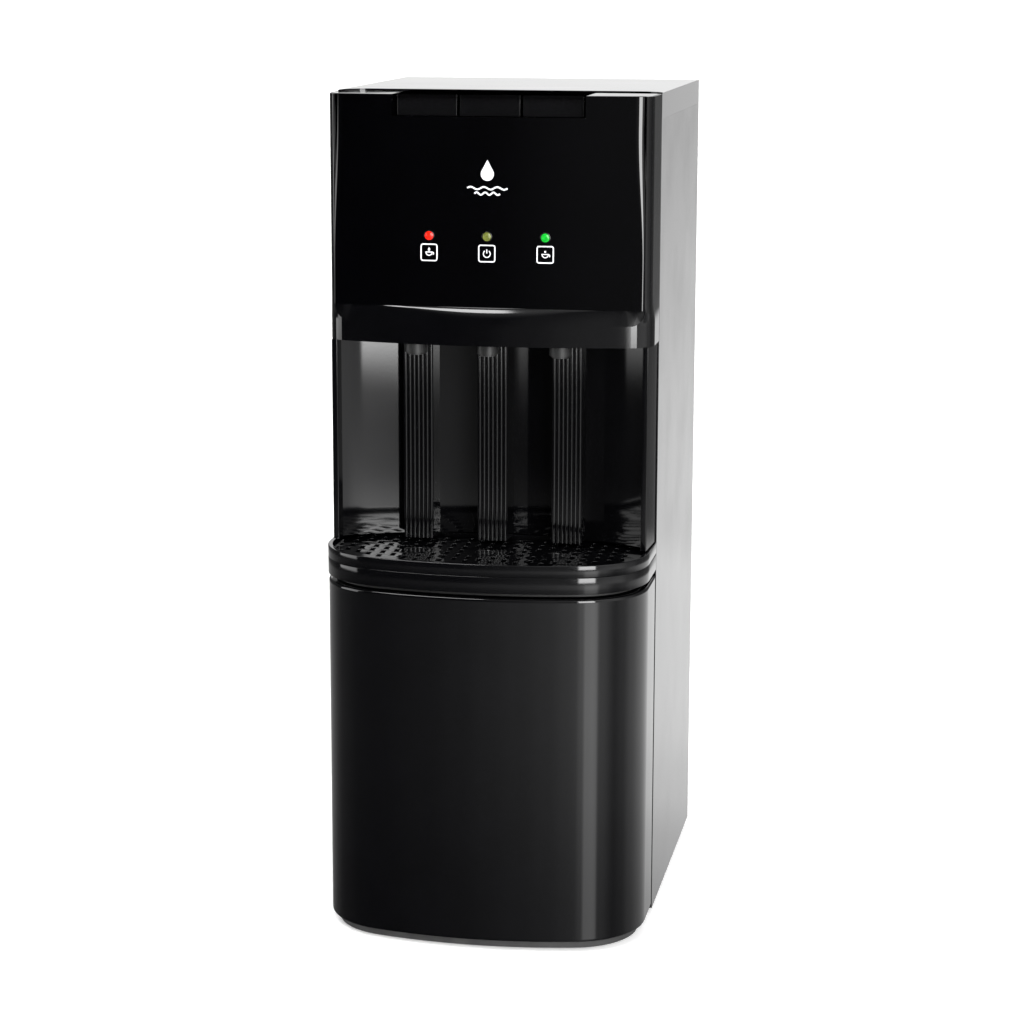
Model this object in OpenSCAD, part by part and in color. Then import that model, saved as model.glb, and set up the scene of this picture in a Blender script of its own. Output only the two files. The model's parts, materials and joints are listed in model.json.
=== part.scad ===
// Free-standing three-tap water dispenser with a lower cupboard, a drip drawer and push keys.
// Frame: +Z up, the taps face -Y, the origin is at the middle of the footprint on the floor.

/* [Whole machine] */
// Overall width
body_w = 310; // [300:1:330]
// Overall depth, from the rear edges to the front of the drip drawer
body_d = 428; // [420:1:450]
// Overall height, feet included
body_h = 803; // [795:1:830]
// Height of the feet
foot_h = 6; // [4:0.5:8]
// How far the door and the drip drawer stand out from the side panels
lower_bulge = 131; // [120:1:135]
// Thickness of the sheet-metal panels
sheet_t = 1.2; // [0.8:0.1:1.5]
// Wall of the moulded plastic parts
wall_t = 3; // [2.5:0.1:3.5]

/* [Front curves] */
// Radius of the bowed front of the door and the drip drawer
lower_bow_r = 440; // [400:5:520]
// Radius of their front corners
lower_corner_r = 72; // [60:1:76]
// Radius of the bowed lip under the head
lip_bow_r = 600; // [560:5:700]
// Radius of the lip's corners
lip_corner_r = 24; // [18:1:28]
// Radius of the nearly flat front of the head
head_bow_r = 2000; // [1600:50:2400]
// Radius of the bow of the face panel
face_bow_r = 3000; // [2500:100:4000]
// Radius of the head's vertical corners
head_corner_r = 14; // [12:1:18]

/* [Heights] */
// Top edge of the door above the floor
door_top = 344; // [340:1:346]
// Rim of the drip drawer above the floor
rim_top = 376.6; // [374:0.1:380]
// Underside of the head above the floor
head_bottom = 571; // [565:1:580]
// Height of the lid's band
lid_h = 24; // [20:1:28]
// Height of the lip under the head
lip_h = 20; // [16:1:24]
// Height of the slope from the lip up to the face panel
slope_h = 14; // [10:1:18]

/* [Taps and display] */
// Distance between neighbouring nozzles
nozzle_pitch = 69; // [64:1:72]
// Distance between neighbouring fluted pillars
pillar_pitch = 72; // [68:1:76]
// Distance between neighbouring indicator lamps
lamp_pitch = 55; // [50:1:60]
// Diameter of a nozzle
nozzle_d = 21; // [18:0.5:24]
// Height of the nozzle tips above the floor
nozzle_tip = 560; // [556:1:564]
// Diameter of an indicator lamp
lamp_d = 8; // [6:0.5:9]
// Width of a fluted pillar
pillar_w = 29; // [26:0.5:31]
// Number of flutes on a pillar
flute_n = 7; // [5:1:8]

/* [Keys] */
// Half the width of the pocket that holds the three keys
pocket_half = 91; // [88:1:93]
// Gap between neighbouring keys
key_gap = 3; // [2:0.5:4]
// Height of a key's front face
key_face_h = 20; // [18:0.5:22]
// How far a key's front edge goes down
key_travel_deg = 3.5; // [2:0.5:4]

/* [Cupboard door] */
// Radius of the hinge pins
pin_r = 2; // [1.5:0.1:2.2]
// Swing of a rear rocker from off to on
rocker_swing_deg = 12; // [8:1:14]
// Radial clearance of a running pin
running_fit = 0.05; // [0.02:0.01:0.1]

/* [Hidden] */

$fn = 48;
eps = 0.01;
arc_steps = 24;      // straight stretches in a bowed front
corner_steps = 10;   // straight stretches in a front corner

half_w = body_w / 2;
front_y = -body_d / 2;
rear_y = body_d / 2;
panel_front_y = front_y + lower_bulge;
lid_z = body_h - lid_h;

// Heights of the layers, from the floor up
base_t = 3;
skirt_z = 2;
base_top = foot_h + base_t;
door_z = base_top + 1;
deck_z = door_top + 1.5;
deck_t = 3.5;
deck_top = deck_z + deck_t;
tray_z = deck_top + 0.4;
cover_h = 11.4;
cover_z = rim_top - cover_h;
tray_top = cover_z - 0.2;
lip_top = head_bottom + lip_h;
slope_top = lip_top + slope_h;
shell_top = body_h - 1;

// Depths of the front surfaces
door_front = front_y + 1.5;
lip_front = front_y + 61;
head_front = front_y + 74.5;
face_foot = front_y + 72;
face_lean = 2;
slope_front = front_y + 69;
shell_rear = panel_front_y - 1;
window_back = head_front + 11.5;
deck_rear = panel_front_y + 30;
nozzle_y = lip_front + 18.5;

// Alcove behind the taps
alcove_half = half_w - 9;
alcove_r = 280;
alcove_back = panel_front_y + 7;
alcove_centre = alcove_back - alcove_r;
liner_z = rim_top + 1.2;
liner_top = head_bottom;
pillar_front = front_y + 101;

// Door hinge
hinge_x = -half_w + 4.5;
hinge_y = panel_front_y - 10;
pin_in_door = 10;
catch_x = 136;

// Keys
key_face_y = front_y + 89;
key_rear_y = deck_rear - 2;
key_face_z = shell_top - key_face_h;
key_w = (2 * pocket_half - 4 * key_gap) / 3;
axle_r = 2;
axle_y = deck_rear - 7;
axle_z = shell_top - 7;
switch_tip_z = key_face_z - 2;

// Rear of the machine, with the holes in the deck for the wiring and for the water riser
back_y = rear_y - 16;
loom_at = [-94, 171];
riser_at = [0, -40];
switch_z = 725;
switch_w = 14;
switch_h = 22;
rocker_r = 2;
screw_r = 1.7;

// ---------- outlines and small helpers ----------

// Centre height of a front corner that meets the bow smoothly
function corner_y(half, front, bow, corner) =
    front + bow - sqrt(pow(bow - corner, 2) - pow(half - corner, 2));

// Points of a plan with a bowed front, round front corners and a straight rear edge
function bow_points(half, front, rear, bow, corner) =
    let (cx = half - corner,
         cy = corner_y(half, front, bow, corner),
         open = asin(cx / (bow - corner)))
    concat(
        [[-half, rear], [-half, cy]],
        [for (i = [1 : corner_steps])
            let (a = 180 + (90 - open) * i / corner_steps)
            [-cx + corner * cos(a), cy + corner * sin(a)]],
        [for (i = [1 : arc_steps - 1])
            let (a = -open + 2 * open * i / arc_steps)
            [bow * sin(a), front + bow - bow * cos(a)]],
        [for (i = [0 : corner_steps - 1])
            let (a = 270 + open + (90 - open) * i / corner_steps)
            [cx + corner * cos(a), cy + corner * sin(a)]],
        [[half, cy], [half, rear]]);

module bow_plan(half, front, rear, bow, corner) {
    polygon(bow_points(half, front, rear, bow, corner));
}

// Plan of the door and drawer, drawn in by a distance
module lower_plan(inset, front, rear) {
    bow_plan(half_w - inset, front + inset, rear, lower_bow_r - inset, lower_corner_r - inset);
}

module lip_plan(inset, rear) {
    bow_plan(half_w - inset, lip_front + inset, rear, lip_bow_r - inset, lip_corner_r - inset);
}

module head_plan(inset, rear) {
    bow_plan(half_w - inset, head_front + inset, rear, head_bow_r - inset, head_corner_r - inset);
}

module slab(z, h) {
    translate([0, 0, z]) linear_extrude(height = h) children();
}

module box(low, high) {
    translate(low) cube(high - low);
}

// Cylinder along Y that starts at a point
module rod_y(at, r, length) {
    translate(at) rotate([-90, 0, 0]) cylinder(r = r, h = length);
}

// Cylinder along X that starts at a point
module rod_x(at, r, length) {
    translate(at) rotate([0, 90, 0]) cylinder(r = r, h = length);
}

// One straight stretch of pipe, between two points on a line along X, Y or Z
module pipe_stretch(a, b, r) {
    d = b - a;
    length = norm(d);
    turn = d[0] != 0 ? [0, d[0] > 0 ? 90 : -90, 0]
         : d[1] != 0 ? [d[1] > 0 ? -90 : 90, 0, 0]
         : [d[2] > 0 ? 0 : 180, 0, 0];
    translate(a) rotate(turn) cylinder(r = r, h = length);
}

// Pipe with a push-fit elbow at each corner
module pipe(points, r) {
    elbow = 2 * r + 3;
    for (i = [0 : len(points) - 2])
        pipe_stretch(points[i], points[i + 1], r);
    for (i = [1 : len(points) - 2])
        translate(points[i]) cube(elbow, center = true);
}

// Screw with a pan head that faces +Y
module rear_screw(at) {
    rod_y(at, 3.5, 2);
    rod_y(at - [0, 8, 0], screw_r, 8);
}

// Places of the screws round the rear panel
function screw_places() = [for (x = [-1, 1], z = [40, 300, 560, 760]) [x * (half_w - 20), back_y, z]];

// ---------- base, panels and frame ----------

// Ear that carries a hinge pin at the left edge of a deck
module hinge_ear() {
    intersection() {
        union() {
            translate([hinge_x, hinge_y]) circle(r = 5.5);
            translate([hinge_x, hinge_y - 5.5]) square([14, 11]);
        }
        translate([-half_w + 0.8, hinge_y - 8]) square([24, 16]);
    }
}

module hinge_hole() {
    translate([hinge_x, hinge_y]) circle(r = pin_r);
}

module base_pan() {
    curb = 18;
    inner = half_w - sheet_t - 0.2;
    color([0.10, 0.10, 0.10]) {
        slab(foot_h, base_t) difference() {
            union() {
                lower_plan(8, front_y + 1, panel_front_y);
                translate([-inner, panel_front_y]) square([2 * inner, back_y - panel_front_y]);
                hinge_ear();
            }
            hinge_hole();
        }
        // Plinth skirt under the door, almost down to the floor
        slab(skirt_z, base_top - skirt_z) difference() {
            lower_plan(8, front_y + 1, panel_front_y);
            lower_plan(8 + wall_t, front_y + 1, panel_front_y + 1);
        }
        // Curbs that the side panels and the partition screw to
        for (side = [-1, 1])
            translate([side * (inner - 1.5), 0, 0])
                box([-1.5, panel_front_y + 18, base_top], [1.5, back_y - sheet_t - 0.3, base_top + curb]);
    }
}

module feet() {
    color([0.07, 0.07, 0.07])
        for (x = [-1, 1], y = [front_y + 64, rear_y - 34])
            translate([x * (half_w - 40), y, 0]) {
                cylinder(r = 14, h = foot_h - 2);
                translate([0, 0, foot_h - 2]) cylinder(r1 = 14, r2 = 11, h = 2);
            }
}

module side_panel(side) {
    flange = 12;
    outer = side * half_w;
    inner = side * (half_w - sheet_t);
    color([0.12, 0.12, 0.12]) {
        box([min(outer, inner), panel_front_y, foot_h], [max(outer, inner), rear_y, lid_z]);
        // Folded flange along the rear edge
        box([min(inner, inner - side * flange), rear_y - sheet_t, foot_h],
            [max(inner, inner - side * flange), rear_y, lid_z]);
    }
}

module left_side_panel() { side_panel(-1); }

module right_side_panel() { side_panel(1); }

// Sheet at the back, with vents beside the compressor and holes for what passes through it
module rear_panel() {
    inner = half_w - sheet_t - 0.2;
    slot_n = 9;
    color([0.11, 0.11, 0.11]) difference() {
        box([-inner, back_y - sheet_t, base_top + eps], [inner, back_y, lid_z]);
        for (row = [0 : slot_n - 1], column = [-1, 1])
            translate([column * 42 - 30, back_y - 2, 130 + row * 20])
                cube([60, 4, 7]);
        for (x = [-1, 1])
            translate([x * switch_w - switch_w / 2 - 1 - 80, back_y - 2, switch_z - switch_h / 2 - 1])
                cube([switch_w + 2, 4, switch_h + 2]);
        box([-109, back_y - 2, 64], [-79, back_y + 1, 86]);
        rod_y([100, back_y - 3, 60], 8, 6);
        rod_y([60, back_y - 3, 385], 9, 6);
        for (at = screw_places())
            rod_y(at - [0, 4, 0], screw_r + 0.1, 8);
    }
}

// Wall between the cupboard and the compressor bay
module bay_partition() {
    inner = half_w - sheet_t - 3.4;
    partition_y = 30;
    color([0.55, 0.56, 0.57])
        box([-inner, partition_y, base_top], [inner, partition_y + sheet_t, deck_z]);
}

module mid_deck() {
    inner = half_w - sheet_t - 0.2;
    color([0.10, 0.10, 0.10])
        slab(deck_z, deck_t) difference() {
            union() {
                lower_plan(8, front_y, panel_front_y);
                translate([-inner, panel_front_y]) square([2 * inner, back_y - sheet_t - panel_front_y]);
                hinge_ear();
            }
            hinge_hole();
            translate(loom_at) circle(r = 6);
            translate(riser_at) circle(r = 6);
        }
}

// Plan of the part of the head's top that reaches back into the lid
module tongue_plan(grow) {
    r = 26;
    half = half_w - 1 + grow;
    rear = deck_rear + grow;
    front = head_front + 20;
    polygon(concat(
        [[-half, front]],
        [for (i = [0 : corner_steps])
            [-half + r - r * cos(90 * i / corner_steps), rear - r + r * sin(90 * i / corner_steps)]],
        [for (i = [corner_steps : -1 : 0])
            [half - r + r * cos(90 * i / corner_steps), rear - r + r * sin(90 * i / corner_steps)]],
        [[half, front]]));
}

module top_lid() {
    color([0.12, 0.12, 0.12]) {
        slab(body_h - 2.5, 2.5) difference() {
            translate([-half_w, panel_front_y]) square([body_w, rear_y - panel_front_y]);
            tongue_plan(0.8);
        }
        // Skirt round the two sides and the back, cut away round the tongue
        difference() {
            slab(lid_z, lid_h) difference() {
                translate([-half_w, panel_front_y]) square([body_w, rear_y - panel_front_y]);
                translate([-half_w + 2.5, panel_front_y - 1])
                    square([body_w - 5, rear_y - panel_front_y - 1.5]);
            }
            slab(shell_top - wall_t - 0.8, lid_h) tongue_plan(0.8);
        }
    }
}

// ---------- head ----------

module head_solid() {
    edge_h = 1;
    slab(head_bottom, lip_h) lip_plan(0, shell_rear);
    hull() {
        slab(lip_top, edge_h) lip_plan(0, shell_rear);
        slab(slope_top - edge_h, edge_h) bow_plan(half_w, slope_front, shell_rear, 900, 20);
    }
    slab(slope_top, shell_top - slope_top) head_plan(0, shell_rear);
    slab(shell_top - wall_t, wall_t) tongue_plan(0);
}

// Moulded surround: two side strips, the lip, the slope and the top with its key pocket
module head_shell() {
    pocket_wall = 2.5;
    window_half = half_w - 7.5;
    color([0.05, 0.05, 0.055]) {
        difference() {
            head_solid();
            slab(head_bottom - 1, lip_h) lip_plan(wall_t, panel_front_y + 1);
            slab(head_bottom - 1, shell_top - wall_t - head_bottom + 1)
                head_plan(wall_t, panel_front_y + 1);
            box([-window_half, front_y, slope_top + 1], [window_half, window_back, body_h]);
            box([-pocket_half, head_front, key_face_z - 10], [pocket_half, key_rear_y + 1.5, body_h]);
        }
        // Side walls of the key pocket and the ledge under the keys' faces
        for (side = [-1, 1])
            translate([side * (pocket_half + pocket_wall / 2), 0, 0])
                box([-pocket_wall / 2, window_back, key_face_z - 3],
                    [pocket_wall / 2, key_rear_y + 1.5, shell_top - wall_t]);
        box([-pocket_half, window_back, key_face_z - 3],
            [pocket_half, key_face_y - 0.7, key_face_z - 0.5]);
    }
}

// Plate that closes the underside of the head round the nozzles
module head_base_plate() {
    color([0.06, 0.06, 0.06])
        difference() {
            slab(head_bottom + 1, 2.5) lip_plan(wall_t + 0.2, panel_front_y + 5);
            for (i = [-1 : 1])
                translate([i * nozzle_pitch, nozzle_y, head_bottom])
                    cylinder(d = nozzle_d + 0.2, h = 5);
        }
}

// Glossy panel that leans back and carries the lamps
module face_panel() {
    panel_half = half_w - 8;
    panel_h = shell_top - slope_top - 1.4;
    panel_t = 2.5;
    color([0.02, 0.02, 0.025])
        difference() {
            translate([0, face_foot, slope_top + 1.2])
                rotate([-face_lean, 0, 0])
                    linear_extrude(height = panel_h)
                        difference() {
                            bow_plan(panel_half, 0, 16, face_bow_r, 1);
                            translate([0, panel_t]) bow_plan(panel_half + 1, 0, 18, face_bow_r, 1);
                        }
            box([-pocket_half, front_y, key_face_z], [pocket_half, 0, body_h + 1]);
            for (i = [-1 : 1])
                lamp_at(i) cylinder(d = lamp_d + 0.2, h = 20, center = true);
        }
}

// Places its child on the face panel, with +Z out of the panel
module lamp_at(i) {
    lamp_z = 672;
    sag = face_bow_r - sqrt(pow(face_bow_r, 2) - pow(i * lamp_pitch, 2));
    y = face_foot + sag + (lamp_z - slope_top) * tan(face_lean);
    translate([i * lamp_pitch, y, lamp_z]) rotate([90 - face_lean, 0, 0]) children();
}

module lamp(i, tint) {
    color(tint)
        lamp_at(i) {
            translate([0, 0, -6]) cylinder(d = lamp_d, h = 6.6);
            translate([0, 0, 0.6 - eps]) cylinder(d1 = lamp_d - 1, d2 = lamp_d - 4, h = 0.8);
        }
}

module lamp_hot() { lamp(-1, [0.9, 0.05, 0.02]); }

module lamp_power() { lamp(0, [0.45, 0.45, 0.25]); }

module lamp_cold() { lamp(1, [0.1, 0.85, 0.15]); }

module control_board() {
    color([0.05, 0.3, 0.12]) {
        box([-75, face_foot + 12, 648], [75, face_foot + 13.6, 696]);
        box([-20, face_foot + 13.6, 652], [10, face_foot + 21, 664]);
        box([30, face_foot + 13.6, 678], [48, face_foot + 19, 690]);
    }
}

// ---------- alcove ----------

module alcove_void() {
    intersection() {
        translate([0, alcove_centre]) circle(r = alcove_r, $fn = 180);
        translate([-alcove_half, front_y]) square([2 * alcove_half, body_d]);
    }
}

// Curved back wall with the two columns that carry the head
module alcove_liner() {
    back = panel_front_y + 13;
    color([0.04, 0.04, 0.045])
        slab(liner_z, liner_top - liner_z) {
            difference() {
                intersection() {
                    translate([0, alcove_centre]) circle(r = alcove_r + wall_t, $fn = 180);
                    translate([-alcove_half, front_y]) square([2 * alcove_half, body_d]);
                    translate([-half_w, front_y + 80]) square([body_w, back - front_y]);
                }
                alcove_void();
            }
            for (side = [-1, 1])
                intersection() {
                    head_plan(1, shell_rear);
                    translate([side * (alcove_half + 4), 0])
                        translate([-4, front_y]) square([8, body_d]);
                }
        }
}

// Pillar behind a tap, with upright ribs on its face
module fluted_pillar(i) {
    rib_r = 1.55;
    rib_pitch = pillar_w / flute_n;
    color([0.04, 0.04, 0.045])
        translate([0, 0, liner_z])
            linear_extrude(height = liner_top - liner_z)
                intersection() {
                    alcove_void();
                    translate([i * pillar_pitch, 0])
                        union() {
                            translate([-pillar_w / 2, pillar_front + rib_r])
                                square([pillar_w, 60]);
                            for (k = [0 : flute_n - 1])
                                translate([(k - (flute_n - 1) / 2) * rib_pitch, pillar_front + rib_r])
                                    circle(r = rib_r, $fn = 24);
                        }
                }
}

module fluted_pillars() {
    for (i = [-1 : 1])
        fluted_pillar(i);
}

// ---------- taps ----------

valve_y = nozzle_y + 26;
valve_z = head_bottom + 16;

// Outlet that hangs under the head, with its feed pipe to the valve behind it
module nozzle(i) {
    outlet_r = 4;
    color([0.05, 0.05, 0.05])
        translate([i * nozzle_pitch, nozzle_y, nozzle_tip])
            difference() {
                union() {
                    cylinder(d = nozzle_d - 4, h = 2);
                    translate([0, 0, 2]) cylinder(d = nozzle_d, h = head_bottom - nozzle_tip + 8);
                    rod_y([0, 0, valve_z - nozzle_tip - 3], 5, 21);
                }
                translate([0, 0, -1]) cylinder(r = outlet_r, h = 17);
            }
}

module nozzle_hot() { nozzle(-1); }

module nozzle_room() { nozzle(0); }

module nozzle_cold() { nozzle(1); }

// Solenoid valve: body, coil and the stub that its tube pushes onto
module valve(i) {
    color([0.85, 0.85, 0.82])
        translate([i * nozzle_pitch, valve_y, valve_z]) {
            box([-11, -5, -12], [11, 17, 10]);
            translate([0, 6, 10]) cylinder(r = 13, h = 28);
            rod_y([0, 17 - eps, -3], 4, 10);
        }
}

module valve_hot() { valve(-1); }

module valve_room() { valve(0); }

module valve_cold() { valve(1); }

// ---------- keys ----------

// Left edge of a key, counted from 0 at the left
function key_left(i) = -pocket_half + key_gap + i * (key_w + key_gap);

// Key on a rear axle: top plate, front face and two ears with running bores
module key(i) {
    x = key_left(i);
    skin = 2.5;
    ear_w = 8;
    post_y = key_face_y + 16;
    post_drop = (axle_y - post_y) * tan(key_travel_deg);
    color([0.06, 0.06, 0.065])
        difference() {
            union() {
                box([x, key_face_y, shell_top - skin], [x + key_w, key_rear_y, shell_top]);
                box([x, key_face_y, key_face_z], [x + key_w, key_face_y + skin, shell_top]);
                for (ear = [x + 6, x + key_w - 6 - ear_w]) {
                    rod_x([ear, axle_y, axle_z], 4.5, ear_w);
                    box([ear, axle_y - 3, axle_z], [ear + ear_w, axle_y + 3, shell_top - skin + eps]);
                }
                // Post that reaches the switch at the end of the key's travel
                box([x + key_w / 2 - 2, post_y - 2, switch_tip_z + post_drop + 0.3],
                    [x + key_w / 2 + 2, post_y + 2, shell_top - skin + eps]);
            }
            rod_x([x - 1, axle_y, axle_z], axle_r + running_fit, key_w + 2);
        }
}

module key_hot() { key(0); }

module key_room() { key(1); }

module key_cold() { key(2); }

module key_axle() {
    color([0.7, 0.7, 0.72])
        rod_x([-pocket_half + 0.5, axle_y, axle_z], axle_r, 2 * pocket_half - 1);
}

// Tray under the keys that holds the axle and the switches
module key_frame() {
    floor_z = key_face_z - 14;
    post_w = 2;
    color([0.2, 0.2, 0.2])
        difference() {
            union() {
                box([-pocket_half - 12, key_face_y + 8, floor_z],
                    [pocket_half + 12, key_rear_y + 10, floor_z + 2]);
                for (x = [key_left(0) - post_w - 0.5, key_left(1) - key_gap / 2 - post_w / 2,
                          key_left(2) - key_gap / 2 - post_w / 2, key_left(2) + key_w + 0.5])
                    box([x, axle_y - 5, floor_z], [x + post_w, axle_y + 4, axle_z + 4]);
            }
            rod_x([-pocket_half, axle_y, axle_z], axle_r, 2 * pocket_half);
        }
}

// One small switch under each key
module key_switches() {
    color([0.1, 0.1, 0.1])
        for (i = [0 : 2])
            translate([key_left(i) + key_w / 2, key_face_y + 16, switch_tip_z]) {
                box([-6, -6, -10], [6, 6, -3]);
                translate([0, 0, -3 - eps]) cylinder(r = 2, h = 3 + eps);
            }
}

// ---------- cooling and heating ----------

cold_x = -72;
tank_y = 60;
hot_x = 78;

module cold_tank() {
    color([0.78, 0.79, 0.8])
        translate([cold_x, tank_y, 440])
            difference() {
                cylinder(r = 55, h = 190);
                translate([0, 0, 1.5]) cylinder(r = 53.5, h = 187);
            }
}

module cold_tank_jacket() {
    color([0.92, 0.92, 0.9])
        translate([cold_x, tank_y, 420])
            difference() {
                box([-75, -75, 0], [75, 75, 230]);
                translate([0, 0, 20]) cylinder(r = 55, h = 190);
            }
}

module hot_tank() {
    color([0.78, 0.79, 0.8])
        translate([hot_x, tank_y, 430]) {
            difference() {
                cylinder(r = 50, h = 170);
                translate([0, 0, 1.5]) cylinder(r = 48.5, h = 167);
            }
            translate([0, 0, 170 - eps]) cylinder(r = 8, h = 12);
        }
}

module heater_band() {
    color([0.6, 0.55, 0.45])
        translate([hot_x, tank_y, 460])
            difference() {
                cylinder(r = 53, h = 45);
                translate([0, 0, -1]) cylinder(r = 50, h = 47);
            }
}

module thermostats() {
    color([0.15, 0.15, 0.15])
        for (z = [540, 570])
            rod_y([hot_x, tank_y - 62, z], 8, 12);
}

// Tubes from the tanks and the filters to the valves
module cold_tube() {
    end = [nozzle_pitch, valve_y + 27, valve_z - 3];
    color([0.85, 0.87, 0.9])
        pipe([end, [end[0], valve_y + 42, end[2]], [end[0], valve_y + 42, 690],
              [cold_x, valve_y + 42, 690], [cold_x, tank_y, 690], [cold_x, tank_y, 650]], 4);
}

module hot_tube() {
    end = [-nozzle_pitch, valve_y + 27, valve_z - 3];
    color([0.85, 0.85, 0.82])
        pipe([end, [end[0], valve_y + 60, end[2]], [end[0], valve_y + 60, 640],
              [hot_x, valve_y + 60, 640], [hot_x, valve_y + 60, 720],
              [hot_x, tank_y, 720], [hot_x, tank_y, 612]], 4);
}

module room_tube() {
    end = [0, valve_y + 27, valve_z - 3];
    color([0.85, 0.87, 0.9])
        pipe([end, [end[0], riser_at[1], end[2]], [riser_at[0], riser_at[1], filter_top + 26]], 4);
}

compressor_x = 10;
compressor_y = 118;

module compressor() {
    color([0.05, 0.05, 0.05])
        translate([compressor_x, compressor_y, base_top + 12]) {
            box([-70, -55, 0], [70, 55, 3]);
            translate([0, 0, 3 - eps]) cylinder(r = 62, h = 130);
            translate([0, 0, 133 - 2 * eps]) cylinder(r1 = 62, r2 = 40, h = 25);
        }
}

module compressor_mounts() {
    color([0.08, 0.08, 0.08])
        for (x = [-1, 1], y = [-1, 1])
            translate([compressor_x + x * 60, compressor_y + y * 46, base_top])
                cylinder(r = 9, h = 12);
}

module filter_dryer() {
    color([0.72, 0.45, 0.2])
        translate([108, 172, 120]) {
            cylinder(r = 9, h = 90);
            translate([0, 0, 90 - eps]) cylinder(r1 = 9, r2 = 3, h = 14);
            translate([0, 0, -14]) cylinder(r1 = 3, r2 = 9, h = 14 + eps);
        }
}

// Serpentine tube with upright wires on both sides, outside the rear panel
module condenser_coil() {
    run_n = 11;
    run_pitch = 25;
    run_half = 105;
    tube_r = 2.4;
    wire_r = 0.9;
    low = 420;
    color([0.06, 0.06, 0.06]) {
        for (k = [0 : run_n - 1])
            rod_x([-run_half, back_y + 7, low + k * run_pitch], tube_r, 2 * run_half);
        for (k = [0 : run_n - 2])
            translate([(k % 2 == 0 ? 1 : -1) * run_half, back_y + 7, low + (k + 0.5) * run_pitch])
                rotate([90, k % 2 == 0 ? 0 : 180, 0])
                    rotate([0, 0, -90])
                        rotate_extrude(angle = 180)
                            translate([run_pitch / 2, 0]) circle(r = tube_r, $fn = 24);
        for (side = [-1, 1], k = [0 : 14])
            translate([-run_half + 7 + k * 14, back_y + 7 + side * (tube_r + wire_r * 0.6), low - 12])
                cylinder(r = wire_r, h = (run_n - 1) * run_pitch + 24, $fn = 16);
        // Two tabs that hold a bend on each side against the rear panel
        for (side = [-1, 1])
            translate([side * (run_half + 11), back_y, low + (5 - side / 2) * run_pitch])
                box([-4, 0, -6], [4, 10, 6]);
    }
}

// ---------- filters ----------

filter_y = -24;
filter_top = 300;

module filter_bracket() {
    color([0.9, 0.9, 0.9]) {
        box([-120, filter_y - 26, filter_top + 8], [120, 30, filter_top + 26]);
        for (i = [-1 : 1])
            translate([i * 78, filter_y, filter_top - eps]) cylinder(r = 20, h = 8 + 2 * eps);
    }
}

module filter_cartridge(i, tint) {
    color(tint)
        translate([i * 78, filter_y, 40]) {
            cylinder(r = 32, h = filter_top - 40 - 24);
            translate([0, 0, filter_top - 64 - eps]) cylinder(r1 = 32, r2 = 18, h = 12);
            translate([0, 0, filter_top - 52 - 2 * eps]) cylinder(r = 16, h = 12);
        }
}

module sediment_filter() { filter_cartridge(-1, [0.93, 0.93, 0.95]); }

module carbon_filter() { filter_cartridge(0, [0.93, 0.93, 0.95]); }

module polishing_filter() { filter_cartridge(1, [0.93, 0.93, 0.95]); }

// Tube from the rear inlet through the partition side to the first filter
module supply_tube() {
    color([0.9, 0.9, 0.95])
        pipe([[100, back_y - 12, 60], [100, back_y - 24, 60], [136, back_y - 24, 60],
              [136, back_y - 24, filter_top + 17], [136, 50, filter_top + 17]], 3.2);
}

// ---------- rear fittings ----------

// Bulkhead union that takes the quarter-inch supply tube
module water_inlet() {
    tube_hole_r = 3.25;
    color([0.9, 0.9, 0.9])
        difference() {
            union() {
                rod_y([100, back_y - 12, 60], 7.9, 22);
                rod_y([100, back_y, 60], 11, 4);
            }
            rod_y([100, back_y - 6, 60], tube_hole_r, 20);
        }
}

// Stub with a flange for the drain hose
module drain_outlet() {
    color([0.85, 0.85, 0.85])
        difference() {
            union() {
                rod_y([60, back_y - 10, 385], 6, 24);
                rod_y([60, back_y, 385], 12, 2);
                rod_y([60, back_y - 8, 385], 8.9, 8 + eps);
            }
            rod_y([60, back_y - 6, 385], 4, 22);
        }
}

// Flush three-pin appliance inlet
module power_inlet() {
    color([0.03, 0.03, 0.03])
        difference() {
            union() {
                box([-108, back_y - 22, 65], [-80, back_y, 85]);
                box([-114, back_y, 60], [-74, back_y + 2.5, 90]);
            }
            difference() {
                box([-106, back_y - 14, 67], [-82, back_y + 4, 83]);
                for (pin = [[-101, 73], [-94, 78], [-87, 73]])
                    box([pin[0] - 1, back_y - 15, pin[1] - 2], [pin[0] + 1, back_y, pin[1] + 2]);
            }
        }
}

// Bundle of wires from the power inlet up to the control board
module wiring_loom() {
    end_y = face_foot + 28;
    color([0.08, 0.08, 0.09])
        pipe([[loom_at[0], back_y - 22, 75], [loom_at[0], loom_at[1], 75],
              [loom_at[0], loom_at[1], 672], [-145, loom_at[1], 672], [-145, end_y, 672],
              [-60, end_y, 672], [-60, face_foot + 13.6, 672]], 3);
}

// Places its children at the pivot of a rear switch
module switch_at(i) {
    translate([-80 + i * switch_w, back_y - 4, switch_z]) children();
}

// Snap-in bodies of the two rear switches, with a pivot for each rocker
module switch_housings() {
    color([0.05, 0.05, 0.05])
        for (i = [-1, 1])
            switch_at(i)
                difference() {
                    union() {
                        box([-switch_w / 2 - 0.8, -20, -switch_h / 2 - 0.8],
                            [switch_w / 2 + 0.8, 4, switch_h / 2 + 0.8]);
                        box([-switch_w / 2 - 2.5, 4, -switch_h / 2 - 2.5],
                            [switch_w / 2 + 2.5, 5.5, switch_h / 2 + 2.5]);
                    }
                    box([-switch_w / 2 + 0.6, -12, -switch_h / 2 + 0.2],
                        [switch_w / 2 - 0.6, 6, switch_h / 2 - 0.2]);
                    rod_x([-switch_w / 2 - 2, 0, 0], rocker_r + running_fit, switch_w + 4);
                }
}

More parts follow.
